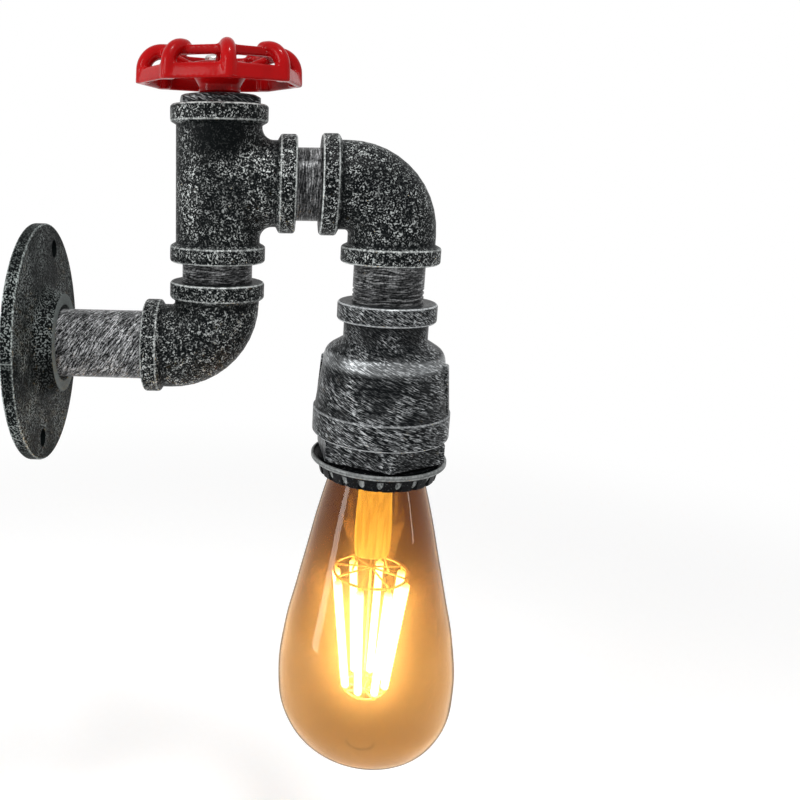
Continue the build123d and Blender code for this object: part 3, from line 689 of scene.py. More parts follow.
@dataclass(frozen=True)
class WornBlack(Finish):
    """Black paint worn through to silver on a ring's lip and in its notches.

    Attributes:
        centre: of the ring.
        skirt: its skirt's lower and upper end, each as (radius, height), or None for a plain ring.
        floor: least and most depth at which a notch's floor shows.
        wear: where the paint is worn through.
        scuffs: small marks elsewhere.
    """

    rim_reach: float = 0.9
    centre: Spot = (0.0, 0.0)
    skirt: tuple[Spot, Spot] | None = None
    floor: Spot = (0.25, 1.2)
    wear: Lumps = Lumps(0.8, 0.40, 0.58, 3.0, 0.6)
    scuffs: Lumps = Lumps(1.7, 0.58, 0.70, 3.0, 0.6)
    black: Colour = (0.0026, 0.0032, 0.0038)
    silver: Colour = (0.40, 0.42, 0.415)

    def notches(self, sheet: Sheet) -> Wire | float:
        """1 where a point lies in from the skirt's slope, as a notch's floor does."""
        if self.skirt is None:
            return 0.0
        (foot_r, foot_z), (top_r, top_z) = self.skirt
        x, y, z = sheet.xyz
        slope = (z - foot_z) * ((top_r - foot_r) / (top_z - foot_z)) + foot_r
        depth = slope - sheet.length(x - self.centre[0], y - self.centre[1])
        least, deepest = self.floor
        below = 1 - sheet.step(z, top_z - 0.8, top_z - 0.3)
        outside = (1 - sheet.step(depth, deepest, deepest + 0.4)) * below
        return sheet.step(depth, least - 0.17, least) * outside

    def paint(self, sheet: Sheet) -> Wire:
        """Wear on the rims and in the notches, and scuffs elsewhere."""
        wear, scuffs = self.wear.on(sheet), self.scuffs.on(sheet)
        worn = wear.between(0.6, 1.0) * self.rims(sheet)
        lit = wear.between(0.35, 1.0) * self.notches(sheet)
        bright = (worn + 0.3 * scuffs * wear).high(lit * 0.8)
        return sheet.surface(
            Base_Color=sheet.blend(bright.low(1.0), self.black, self.silver),
            Metallic=bright * 0.3,
            Roughness=bright.between(0.40, 0.30),
            Specular_IOR_Level=0.05,
            Normal=sheet.bump(wear, 0.05, 0.5),
        )


@dataclass(frozen=True)
class PlainMetal(Finish):
    """Bright metal with a fine even grain."""

    colour: Colour = (0.62, 0.62, 0.60)
    rough: float = 0.28
    dulled: float = 0.55
    stains: Lumps = Lumps(0.35, 0.40, 0.72, 3.0)

    def paint(self, sheet: Sheet) -> Wire:
        """Even metal, a little stained."""
        stain = self.stains.on(sheet)
        dull = tuple(self.dulled * part for part in self.colour)
        return sheet.surface(
            Base_Color=sheet.blend(stain * 0.6, self.colour, dull),
            Metallic=1.0,
            Roughness=stain.between(self.rough, self.rough + 0.15),
            Normal=sheet.bump(sheet.noise(sheet.place, 2.4), 0.03, 0.4),
        )


@dataclass(frozen=True)
class Moulding(Finish):
    """Matt black moulded insulator."""

    colour: Colour = (0.014, 0.014, 0.015)
    paler: float = 2.2

    def paint(self, sheet: Sheet) -> Wire:
        """Fine moulded grain."""
        grain = sheet.noise(sheet.place, 2.2, 2.0, 0.6)
        pale = tuple(self.paler * part for part in self.colour)
        return sheet.surface(
            Base_Color=sheet.blend(sheet.step(grain, 0.45, 0.75), self.colour, pale),
            Roughness=grain.between(0.5, 0.65),
            Specular_IOR_Level=0.25,
            Normal=sheet.bump(grain, 0.05, 0.5),
        )


@dataclass(frozen=True)
class AmberGlass(Finish):
    """Clear amber glass, through which lamps also light what is inside.

    Attributes:
        tint: of the clear glass at the belly, and neck_tint at the neck.
        haze_tint: of its haze at the belly, and neck_haze at the neck.
        outline_shade: colour of the painted shade, a dark line at its outline.
        shade_tint: of the light that it lets through from the lamps.
        glow: light of the haze before the filament.
        glow_strength: of that light.
        lit_z: where the glow starts, is full, begins to fade and ends, upwards.
        belly_z: height up to which the tint is the belly's.
        neck_z: height from which it is the neck's.
        haze: share of haze.
        ior: how much the glass bends light.
    """

    tint: Colour = (0.49, 0.285, 0.10)
    neck_tint: Colour = (0.27, 0.12, 0.025)
    haze_tint: Colour = (0.74, 0.46, 0.16)
    neck_haze: Colour = (0.34, 0.15, 0.03)
    outline_shade: Colour = (0.05, 0.026, 0.008)
    shade_tint: Colour = (0.80, 0.62, 0.42)
    glow: Colour = (1.0, 0.74, 0.26)
    glow_strength: float = 0.45
    lit_z: tuple[float, float, float, float] = (-178.0, -150.0, -125.0, -90.0)
    belly_z: float = -125.0
    neck_z: float = -52.0
    haze: float = 0.12
    ior: float = 1.30

    def paint(self, sheet: Sheet) -> Wire:
        """Clear glass, darker at neck, a painted-shade dark outline, and a share of haze that makes the glow.
        """
        z = sheet.xyz[2]
        up = sheet.step(z, self.belly_z, self.neck_z)
        cloud = sheet.noise(sheet.place, 0.045)
        start, full, fade, end = self.lit_z
        lit = sheet.step(z, start, full) * (1 - sheet.step(z, fade, end))
        clear = sheet.surface(
            Base_Color=sheet.blend((up * 0.9 + 0.2 * cloud).low(1.0), self.tint, self.neck_tint),
            Roughness=0.0,
            IOR=self.ior,
            Transmission_Weight=1.0,
        )
        hazy = sheet.surface(
            Base_Color=sheet.blend(up, self.haze_tint, self.neck_haze),
            Roughness=0.85,
            IOR=self.ior,
            Transmission_Weight=1.0,
            Emission_Color=sheet.blend(lit, (0.0, 0.0, 0.0), self.glow),
            Emission_Strength=self.glow_strength,
        )
        # Painted shade: an unlit dark surface is mixed in where the glass turns away from the eye, as its
        # dark outline.
        edge = sheet.step(sheet.node("LayerWeight", None, {"Blend": 0.5}, out="Facing"), 0.76, 0.90)
        dark = sheet.surface(Base_Color=self.outline_shade, Roughness=0.5, Specular_IOR_Level=0.0)
        let_by = sheet.node("BsdfTransparent", None, {"Color": self.shade_tint})
        body = sheet.mixed(self.haze, clear, hazy)
        seen = sheet.mixed(edge * 0.8, body, dark)
        return sheet.mixed(sheet.node("LightPath", out="Is Shadow Ray"), seen, let_by)


@dataclass(frozen=True)
class LitGlass(Finish):
    """Clear glass of the stem, full of the filament's light."""

    tint: Colour = (1.0, 0.86, 0.50)
    glow: Colour = (0.88, 1.0, 0.50)
    dim: Colour = (0.34, 0.30, 0.12)
    strength: float = 2.2
    foot_z: float = -88.0
    top_z: float = -35.0
    drawn_out: float = 0.045

    def paint(self, sheet: Sheet) -> Wire:
        """Upright draw lines, brighter towards the filament."""
        x, y, z = sheet.xyz
        drawn = sheet.node("CombineXYZ", None, {0: x, 1: y, 2: z * self.drawn_out})
        lines = sheet.noise(drawn, 0.75, 2.5)
        near = 1 - sheet.step(z, self.foot_z, self.top_z)
        share = near.between(0.45, 0.85) * sheet.step(lines, 0.38, 0.62).between(0.35, 1.55)
        return sheet.surface(
            Base_Color=self.tint,
            Roughness=0.12,
            IOR=1.46,
            Transmission_Weight=0.6,
            Emission_Color=sheet.blend(share.low(1.0), self.dim, self.glow),
            Emission_Strength=self.strength,
            Normal=sheet.bump(lines, 0.5, 0.6),
        )


@dataclass(frozen=True)
class LitBar(Finish):
    """Filament bar, white hot in its middle and amber at its ends."""

    phosphor: Colour = (0.95, 0.72, 0.30)
    hot: Colour = (1.0, 0.90, 0.66)
    end: Colour = (0.10, 0.062, 0.012)
    strength: float = 45.0
    top_z: float = -92.0
    foot_z: float = -148.0
    end_length: float = 5.0

    def paint(self, sheet: Sheet) -> Wire:
        """Even glow that falls off at both ends, with small lumps of phosphor."""
        z = sheet.xyz[2]
        from_end = (self.top_z - z).low(z - self.foot_z)
        lumps = sheet.noise(sheet.place, 0.7)
        share = sheet.step(from_end, 0.8, self.end_length) * lumps.between(0.8, 1.2)
        return sheet.surface(
            Base_Color=self.phosphor,
            Roughness=0.45,
            Emission_Color=sheet.blend(share.low(1.0), self.end, self.hot),
            Emission_Strength=self.strength,
            Normal=sheet.bump(lumps, 0.1, 0.4),
        )


@dataclass(frozen=True)
class HotWire(Finish):
    """Nickel wire lit up by the bars that it holds."""

    metal: Colour = (0.70, 0.64, 0.52)
    glow: Colour = (1.0, 0.74, 0.24)
    dimmed: float = 0.35
    strength: float = 1.6
    stretches: Lumps = Lumps(0.45, 0.36, 0.64)

    def paint(self, sheet: Sheet) -> Wire:
        """Glow in uneven stretches along the wire."""
        uneven = self.stretches.on(sheet)
        dim = tuple(self.dimmed * part for part in self.glow)
        return sheet.surface(
            Base_Color=self.metal,
            Metallic=1.0,
            Roughness=uneven.between(0.26, 0.36),
            Emission_Color=sheet.blend(uneven, dim, self.glow),
            Emission_Strength=self.strength,
        )


# ---- modelling helpers -----------------------------------------------------------------------------


def deselect() -> None:
    """Leaves nothing selected and no object being edited."""
    if bpy.context.object and bpy.context.object.mode != "OBJECT":
        bpy.ops.object.mode_set(mode="OBJECT")
    bpy.ops.object.select_all(action="DESELECT")


def pick(*pieces: bpy.types.Object) -> None:
    """Selects these pieces alone and makes the first one active."""
    deselect()
    for piece in pieces:
        piece.select_set(True)
    bpy.context.view_layer.objects.active = pieces[0]


def settle(piece: bpy.types.Object, name: str, angle: float = 40.0) -> bpy.types.Object:
    """Puts a piece's place into its mesh, names it and shades it smooth below an angle in degrees."""
    pick(piece)
    bpy.ops.object.transform_apply(location=True, rotation=True, scale=True)
    bpy.ops.object.shade_smooth_by_angle(angle=math.radians(angle))
    piece.name = piece.data.name = name
    return piece


def joined(pieces: Sequence[bpy.types.Object]) -> bpy.types.Object:
    """One object from several."""
    pick(*pieces)
    if len(pieces) > 1:
        bpy.ops.object.join()
    return bpy.context.object


def apply_all(piece: bpy.types.Object) -> None:
    """Applies every modifier in its order."""
    pick(piece)
    for modifier in list(piece.modifiers):
        bpy.ops.object.modifier_apply(modifier=modifier.name)


def mended(piece: bpy.types.Object, gap: float = 0.0005) -> None:
    """Merges a mesh's doubles, nearer than the gap in millimetres, and turns its faces outwards."""
    pick(piece)
    bpy.ops.object.mode_set(mode="EDIT")
    bpy.ops.mesh.select_all(action="SELECT")
    bpy.ops.mesh.remove_doubles(threshold=gap * MM)
    bpy.ops.mesh.normals_make_consistent(inside=False)
    bpy.ops.object.mode_set(mode="OBJECT")


def dress(piece: bpy.types.Object, material: bpy.types.Material) -> None:
    """Gives a piece one material."""
    piece.data.materials.clear()
    piece.data.materials.append(material)


def dress_node(node: str, finish: Finish) -> None:
    """Lays a finish on a CAD piece that keeps its shape."""
    dress(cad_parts[node], finish.make())
    LOG.info("%s: %s", node, finish.name)


def wire_between(start: Vector, end: Vector, radius: float, sides: int = 10) -> bpy.types.Object:
    """Round wire with soft ends from one place to another, in millimetres."""
    deselect()
    run = end - start
    bpy.ops.mesh.primitive_cylinder_add(
        vertices=sides,
        radius=radius * MM,
        depth=run.length * MM,
        location=(start + end) / 2 * MM,
        rotation=run.to_track_quat("Z", "Y").to_euler(),
    )
    piece = bpy.context.object
    bevel = piece.modifiers.new("soft ends", "BEVEL")
    bevel.width, bevel.segments, bevel.limit_method = radius * 0.3 * MM, 2, "ANGLE"
    apply_all(piece)
    bpy.ops.object.transform_apply(location=True, rotation=True, scale=True)
    return piece


def centre_of(node: str) -> Vector:
    """Middle of a CAD piece's box, in millimetres."""
    low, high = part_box(node)
    return (low + high) / 2 / MM


def ends_of(node: str) -> tuple[Vector, Vector]:
    """Lowest and highest corner of a CAD piece, in millimetres."""
    low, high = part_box(node)
    return low / MM, high / MM


# ---- the light, from the wall outwards -------------------------------------------------------------


@dataclass
class Pipework:
    """Flange, pipe and fittings, which keep their CAD shapes.

    Attributes:
        band_width: of the bands round the fittings' mouths.
        flange_thickness: at its rim.
        hole_radius: of its two screw holes.
        hole_circle: radius of the circle that they are on.
        hole_turn: of the holes from the upright, in degrees.
        pipe_radius: of every pipe.
        plug_radius: of the plug's face.
        plug_rim: height of the plug's rim that is rubbed bright.
    """

    band_width: float = 6.1
    flange_thickness: float = 4.8
    hole_radius: float = 3.9
    hole_circle: float = 38.0
    hole_turn: float = 20.0
    pipe_radius: float = 13.4
    plug_radius: float = 13.6
    plug_rim: float = 0.7

    def __post_init__(self) -> None:
        """Takes the pipes' axes from the frame."""
        self.stack = (centre_of("stack_nipple").x, 0.0)
        self.drop = (centre_of("drop_nipple").x, 0.0)
        self.arm = (0.0, centre_of("arm_nipple").z)
        self.wall = (0.0, 0.0)

    def mouth(self, node: str, axis: Axis, upper: bool, centre: Spot) -> Band:
        """Band at the low or the high end of a fitting."""
        low, high = ends_of(node)
        along = "XYZ".index(axis.value)
        face = high[along] if upper else low[along]
        other = face - self.band_width if upper else face + self.band_width
        return Band(axis, centre, high.y, min(face, other), max(face, other))

    def dress_fittings(self) -> None:
        """Cast skin on the elbows and the tee, and a brushed one on the plug."""
        mouths = {
            "lower_elbow": ((Axis.X, False, self.wall), (Axis.Z, True, self.stack)),
            "tee": ((Axis.Z, False, self.stack), (Axis.Z, True, self.stack), (Axis.X, True, self.arm)),
            "upper_elbow": ((Axis.X, False, self.arm), (Axis.Z, False, self.drop)),
        }
        rubbed = {
            "lower_elbow": (Patch((62.0, -14.0, -14.0), (16.0, 14.0, 8.0)),),
            "tee": (
                Patch((89.0, -13.0, 55.0), (9.0, 12.0, 9.0)),
                Patch((89.5, -13.0, 70.0), (7.5, 12.0, 8.0)),
                Patch((62.0, -12.0, 58.0), (6.0, 12.0, 24.0)),
            ),
            "upper_elbow": (Patch((122.0, -10.0, 77.0), (12.0, 12.0, 9.0)),),
        }
        missed = {"tee": (Patch((73.0, -15.0, 80.0), (17.0, 17.0, 11.0)),)}
        for node, places in mouths.items():
            bands = tuple(self.mouth(node, *place) for place in places)
            patches = {"rubbed": rubbed[node], "missed": missed.get(node, ())}
            dress_node(node, CastGrain(f"cast_skin_{node}", bands, **patches))
        plug_top = ends_of("top_plug")[1].z
        rim = Band(Axis.Z, self.stack, self.plug_radius, plug_top - self.plug_rim, plug_top)
        skin = BrushedIron("plug_skin", (rim,), centre=self.stack, radius=self.plug_radius, cover=0.3)
        dress_node("top_plug", skin)

    def dress_flange(self) -> None:
        """Sandy skin on the flange."""
        high = ends_of("wall_flange")[1]
        rim = Band(Axis.X, self.wall, high.z, 0.0, self.flange_thickness)
        turn = math.radians(self.hole_turn)
        across, up = self.hole_circle * math.sin(turn), self.hole_circle * math.cos(turn)
        holes = ((across, up), (-across, -up))
        hub = {"hub_face": high.x, "holes": holes, "hole_radius": self.hole_radius}
        dress_node("wall_flange", SandyIron("flange_skin", (rim,), **hub))

    def dress_pipes(self) -> None:
        """Streaks round each pipe, and slanting ones on the pipe at the wall."""
        level = {
            "arm_nipple": (Axis.X, self.arm),
            "stack_nipple": (Axis.Z, self.stack),
            "drop_nipple": (Axis.Z, self.drop),
        }
        for node, (axis, centre) in level.items():
            name = "pipe_of_" + node.split("_")[0]
            dress_node(node, DrawnPipe(name, axis=axis, centre=centre, radius=self.pipe_radius))
        slanted = DrawnPipe(
            "pipe_at_wall",
            axis=Axis.X,
            centre=self.wall,
            radius=self.pipe_radius,
            slant=32.0,
            streaks=Strokes(3.4, 0.42, 0.49, 0.65),
            fine=Strokes(1.36, 0.294, 0.50, 0.68, turn=5.0),
            wear=0.95,
        )
        dress_node("flange_nipple", slanted)

    def build(self) -> None:
        """Dresses every piece of the run."""
        self.dress_flange()
        self.dress_pipes()
        self.dress_fittings()


@dataclass
class Lampholder:
    """Reducer, bushing, holder with its contacts, and the shade ring.

    Attributes:
        top_band: height of the reducer's upper band.
        lower_band: height of its lower band.
        top_band_radius: of the upper band.
        rib_drop: how far below its top the reducer's shoulder ends.
        lip_height: of the shade ring's lip.
        skirt: how far in the ring's skirt starts at its foot and at its top.
    """

    top_band: float = 7.1
    lower_band: float = 10.5
    top_band_radius: float = 18.9
    rib_drop: float = 22.4
    lip_height: float = 1.9
    skirt: Spot = (4.8, 2.2)

    def dress_reducer(self, axis: Spot) -> None:
        """Brushed skin on the reducer, with more silver and a painted highlight on its shoulder, and on the
        bushing.
        """
        low, high = ends_of("bell_reducer")
        bands = (
            Band(Axis.Z, axis, self.top_band_radius, high.z - self.top_band, high.z),
            Band(Axis.Z, axis, high.y, low.z, low.z + self.lower_band),
        )
        # Height band of the shoulder, which gets more silver and a painted highlight.
        shoulder_silver_and_highlight = (high.z - self.rib_drop, high.z - self.rib_drop + 2.5)
        dress_node("bell_reducer", BrushedIron("reducer_skin", bands, centre=axis, shoulder=shoulder_silver_and_highlight))
        dress_node("hex_bushing", BrushedIron("bushing_skin", centre=axis, cover=0.25))

    def dress_ring(self, axis: Spot) -> None:
        """Worn paint on the shade ring and its washer."""
        low, high = ends_of("shade_ring")
        radius = (high.x - low.x) / 2
        lip = Band(Axis.Z, axis, radius, high.z - self.lip_height, high.z, inset=0.5)
        foot, top = (radius - self.skirt[0], low.z), (radius - self.skirt[1], high.z - self.lip_height)
        dress_node("shade_ring", WornBlack("ring_paint", (lip,), centre=axis, skirt=(foot, top)))
        dress_node("ring_washer", WornBlack("washer_paint", centre=axis))

    def build(self) -> None:
        """Dresses the holder's pieces."""
        axis = (centre_of("drop_nipple").x, 0.0)
        self.dress_reducer(axis)
        self.dress_ring(axis)
        dress_node("holder_body", Moulding("holder_moulding"))
        for node in ("screw_shell", "contact_tongue", "terminal_screws"):
            dress_node(node, PlainMetal(f"brass_{node}", colour=(0.70, 0.50, 0.22)))
        for node in ("holder_locknut", "spindle", "spindle_washer", "wheel_screw"):
            dress_node(node, PlainMetal(f"plated_{node}"))


@dataclass
class ValveWheel:
    """The red handwheel, recast in one smooth skin from its CAD form.

    Attributes:
        voxel: size of the skin's squares.
        rounds: how often the skin is smoothed.
    """

    voxel: float = 0.42
    rounds: int = 14

    def build(self) -> bpy.types.Object:
        """Models and dresses the wheel.

        Returns:
            The finished casting.
        """
        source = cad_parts["handwheel"]
        piece = bpy.data.objects.new("handwheel_casting", source.data.copy())
        bpy.context.scene.collection.objects.link(piece)
        mended(piece)
        skin = piece.modifiers.new("skin", "REMESH")
        skin.mode, skin.voxel_size = "VOXEL", self.voxel * MM
        soft = piece.modifiers.new("soft corners", "SMOOTH")
        soft.factor, soft.iterations = 0.5, self.rounds
        apply_all(piece)
        settle(piece, "handwheel_casting", 80.0)
        dress(piece, Enamel("red_enamel").make())
        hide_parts("handwheel")
        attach(piece, "wheel")
        LOG.info("%s: %d faces, smoothed %d times", piece.name, len(piece.data.polygons), self.rounds)
        return piece


@dataclass
class FilamentLamp:
    """Amber lamp: envelope, stem, and a cage of glowing bars on two wire stars.

    Attributes:
        wall: thickness of the glass.
        envelope: the glass's outline as (radius, share of its length below the rim).
        nub: outline of the tip, as (radius, height above the lowest point).
        turns: steps round the glass.
        stem: its sections as (height below its top, half width, half depth).
        bars: how many filament bars there are.
        bar_radius: of one bar.
        tab: how far a bar's wire shows at each end.
        cage_top_radius: of the bars' upper ends about the lamp's axis.
        cage_foot_radius: of their lower ends.
        wire_radius: of the stars' rings.
        arm_radius: of the stars' arms.
        hub_radius: of the ball in a star's middle.
        hub_rise: how far that ball stands above its ring, in the upper and the lower star.
        tab_radius: of a bar's end wires.
        lead_radius: of the middle wire and of the two leads.
        lead_spread: how far out a lead starts.
        sunk: how far the wires reach into the stem, and the bars' end wires into the bars.
        stem_gap: from the glass's rim down to the stem's top.
        body: that the lamp turns with.
    """

    wall: float = 0.9
    envelope: tuple[Spot, ...] = (
        (12.7, 0.0), (14.55, 0.05), (18.0, 0.12), (22.65, 0.235), (26.8, 0.36), (30.75, 0.48),
        (34.75, 0.605), (36.72, 0.755), (34.2, 0.855), (25.75, 0.93), (16.0, 0.958),
    )
    nub: tuple[Spot, ...] = ((9.4, 4.75), (6.7, 3.9), (5.9, 2.6), (4.2, 0.95), (0.0, 0.05))
    turns: int = 128
    stem: tuple[tuple[float, float, float], ...] = (
        (0.0, 11.4, 11.4), (2.0, 11.2, 11.2), (4.5, 8.6, 8.6), (8.0, 6.6, 6.6), (18.0, 6.4, 6.0),
        (29.0, 6.9, 4.4), (37.0, 7.5, 2.7), (54.0, 7.5, 2.5), (56.5, 6.0, 2.0),
    )
    bars: int = 8
    bar_radius: float = 1.6
    tab: float = 2.4
    cage_top_radius: float = 15.2
    cage_foot_radius: float = 8.6
    wire_radius: float = 0.55
    arm_radius: float = 0.44
    hub_radius: float = 1.3
    hub_rise: Spot = (2.0, -1.0)
    tab_radius: float = 0.7
    lead_radius: Spot = (0.5, 0.45)
    lead_spread: float = 5.0
    sunk: Spot = (2.0, 1.0)
    stem_gap: float = 0.5
    body: str = "bulb"

    def __post_init__(self) -> None:
        """Takes the lamp's places from the frame."""
        self.axis = Vector((centre_of("drop_nipple").x, 0.0, 0.0))
        glass_low, glass_high = ends_of("bulb_glass")
        self.rim, self.tip = glass_high.z, glass_low.z
        cage_low, cage_high = ends_of("filament_bars")
        self.cage_top, self.cage_foot = cage_high.z, cage_low.z
        self.stem_foot = ends_of("bulb_stem")[0].z

    def at(self, radius: float, turn: float, height: float) -> Vector:
        """Place at a distance from the lamp's axis, a turn in radians and a height."""
        return self.axis + Vector((radius * math.cos(turn), radius * math.sin(turn), height))

    def turn_of(self, bar: int) -> float:
        """Turn of a bar about the lamp's axis, in radians."""
        return math.tau * (bar + 0.5) / self.bars

    def keep(self, piece: bpy.types.Object, slot: str, *nodes: str) -> None:
        """Hides the CAD pieces that a finished piece stands for, attaches it to the lamp's body and logs it.
        """
        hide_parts(*nodes)
        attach(piece, self.body)
        LOG.info("%s: %d faces, for %s", piece.name, len(piece.data.polygons), ", ".join(nodes))

    def blow_envelope(self) -> None:
        """Turns the glass's outline round the lamp's axis and gives it its wall."""
        length = self.rim - self.tip
        outline = [(radius, self.rim - share * length) for radius, share in self.envelope]
        outline += [(radius, self.tip + height) for radius, height in self.nub]
        deselect()
        bpy.ops.curve.primitive_bezier_curve_add()
        curve = bpy.context.object
        spline = curve.data.splines[0]
        spline.bezier_points.add(len(outline) - len(spline.bezier_points))
        for point, (radius, height) in zip(spline.bezier_points, outline):
            point.co = (self.axis + Vector((radius, 0.0, height))) * MM
            point.handle_left_type = point.handle_right_type = "AUTO"
        curve.data.resolution_u = 7
        pick(curve)
        bpy.ops.object.convert(target="MESH")
        glass = bpy.context.object
        bpy.ops.object.mode_set(mode="EDIT")
        bpy.ops.mesh.select_all(action="SELECT")
        centre = self.axis * MM
        bpy.ops.mesh.spin(steps=self.turns, angle=math.tau, center=centre, axis=(0.0, 0.0, 1.0))
        bpy.ops.object.mode_set(mode="OBJECT")
        mended(glass, 0.002)
        wall = glass.modifiers.new("wall", "SOLIDIFY")
        wall.thickness, wall.offset, wall.use_even_offset = self.wall * MM, -1.0, True
        apply_all(glass)
        settle(glass, "envelope", 70.0)
        dress(glass, AmberGlass("amber_glass").make())
        self.keep(glass, "amber_glass", "bulb_glass")

    def draw_stem(self) -> None:
        """Models the stem: a flared tube pressed flat towards its foot."""
        top = self.rim - self.stem_gap
        deselect()
        bpy.ops.mesh.primitive_circle_add(vertices=32, radius=MM, fill_type="NGON", location=(0.0, 0.0, 0.0))
        stem = bpy.context.object
        bpy.ops.object.mode_set(mode="EDIT")
        bpy.ops.mesh.select_all(action="SELECT")
        _, width, depth = self.stem[0]
        bpy.ops.transform.resize(value=(width, depth, 1.0), center_override=(0.0, 0.0, 0.0))
        for (above, wide, deep), (below, width, depth) in zip(self.stem, self.stem[1:]):
            down = (0.0, 0.0, (above - below) * MM)
            bpy.ops.mesh.extrude_region_move(TRANSFORM_OT_translate={"value": down})
            share = (width / wide, depth / deep, 1.0)
            bpy.ops.transform.resize(value=share, center_override=(0.0, 0.0, -below * MM))
        bpy.ops.object.mode_set(mode="OBJECT")
        stem.location = (self.axis + Vector((0.0, 0.0, top))) * MM
        mended(stem, 0.001)
        soft = stem.modifiers.new("soft", "SUBSURF")
        soft.levels = soft.render_levels = 2
        apply_all(stem)
        settle(stem, "stem_press", 60.0)
        dress(stem, LitGlass("stem_glass", foot_z=self.stem_foot, top_z=top).make())
        self.keep(stem, "clear_glass", "bulb_stem")

    def bar(self) -> bpy.types.Object:
        """Models one filament bar: a rounded rod with a thin wire at each end."""
        upper = self.at(self.cage_top_radius, 0.0, self.cage_top)
        lower = self.at(self.cage_foot_radius, 0.0, self.cage_foot)
        along = (lower - upper).normalized()
        rod = wire_between(upper + along * self.tab, lower - along * self.tab, self.bar_radius, 12)
        reach = along * (self.tab + self.sunk[1])
        runs = ((upper, upper + reach), (lower - reach, lower))
        wires = [wire_between(start, end, self.tab_radius, 8) for start, end in runs]
        return joined([rod, *wires])

    def string_cage(self) -> None:
        """Copies the bar round the axis."""
        first = self.bar()
        copies = [first]
        for _ in range(1, self.bars):
            copy = first.copy()
            copy.data = first.data.copy()
            bpy.context.scene.collection.objects.link(copy)
            copies.append(copy)
        centre = Matrix.Translation(self.axis * MM)
        for number, copy in enumerate(copies):
            copy.matrix_world = centre @ Matrix.Rotation(self.turn_of(number), 4, "Z") @ centre.inverted()
        cage = joined(copies)
        settle(cage, "filament_cage", 50.0)
        dress(cage, LitBar("lit_bar", top_z=self.cage_top, foot_z=self.cage_foot).make())
        cage.visible_diffuse = False
        self.keep(cage, "glowing_bar", "filament_bars")

    def star(self, name: str, radius: float, height: float, rise: float, node: str) -> None:
        """Models a wire star: a hub, a ring and an arm to each bar.

        Args:
            name: of the piece.
            radius: of its ring.
            height: of its ring.
            rise: of its hub above the ring.
            node: the CAD piece that it stands for.
        """
        hub = self.axis + Vector((0.0, 0.0, height + rise))
        parts = [
            wire_between(hub, self.at(radius, self.turn_of(bar), height), self.arm_radius, 8)
            for bar in range(self.bars)
        ]
        deselect()
        bpy.ops.mesh.primitive_torus_add(
            location=(self.axis + Vector((0.0, 0.0, height))) * MM,
            major_radius=radius * MM,
            minor_radius=self.wire_radius * MM,
            major_segments=64,
            minor_segments=10,
        )
        parts.append(bpy.context.object)
        deselect()
        ball = {"radius": self.hub_radius * MM, "location": hub * MM}
        bpy.ops.mesh.primitive_uv_sphere_add(segments=16, ring_count=10, **ball)
        parts.append(bpy.context.object)
        self.finish_wires(name, parts, node)

    def finish_wires(self, name: str, parts: Sequence[bpy.types.Object], node: str) -> None:
        """Joins wires to one piece and dresses it."""
        whole = joined(parts)
        settle(whole, name, 50.0)
        dress(whole, HotWire(f"hot_{name}").make())
        whole.visible_diffuse = False
        self.keep(whole, "plated_steel", node)

    def lead_wires(self) -> None:
        """Models the middle wire and the two leads from the stem."""
        start = self.stem_foot + self.sunk[0]
        foot = self.axis + Vector((0.0, 0.0, self.cage_foot))
        middle, lead = self.lead_radius
        parts = [wire_between(self.at(0.0, 0.0, start), foot, middle)]
        for turn in (0.0, math.pi):
            end = self.at(self.cage_top_radius * 0.5, turn, self.cage_top)
            parts.append(wire_between(self.at(self.lead_spread, turn, start), end, lead))
        self.finish_wires("middle_wire", parts, "cage_post")

    def build(self) -> None:
        """Models the lamp from its glass inwards and dresses its cap."""
        self.blow_envelope()
        self.draw_stem()
        self.string_cage()
        up, down = self.hub_rise
        self.star("upper_star", self.cage_top_radius, self.cage_top, up, "upper_carrier")
        self.star("lower_star", self.cage_foot_radius, self.cage_foot, down, "lower_carrier")
        self.lead_wires()
        dress_node("bulb_cap", PlainMetal("cap_brass", colour=(0.72, 0.54, 0.26)))
        dress_node("bulb_contact", PlainMetal("solder", colour=(0.55, 0.54, 0.52), rough=0.4))
        dress_node("bulb_insulator", Moulding("black_glass"))


# ---- studio ----------------------------------------------------------------------------------------


@dataclass(frozen=True)
class Softbox:
    """A soft rectangular lamp.

    Attributes:
        name: of the lamp.
        place: in metres.
        target: the point that it faces, in metres.
        size: its width and height in metres.
        power: in watts.
    """

    name: str
    place: tuple[float, float, float]
    target: tuple[float, float, float]
    size: Spot
    power: float

    def hang(self) -> None:
        """Puts the lamp in the scene."""
        lamp = bpy.data.lights.new(self.name, "AREA")
        lamp.shape, lamp.size, lamp.size_y, lamp.energy = "RECTANGLE", *self.size, self.power
        holder = bpy.data.objects.new(self.name, lamp)
        holder.location = self.place
        aim = Vector(self.target) - Vector(self.place)
        holder.rotation_euler = aim.to_track_quat("-Z", "Y").to_euler()
        bpy.context.scene.collection.objects.link(holder)


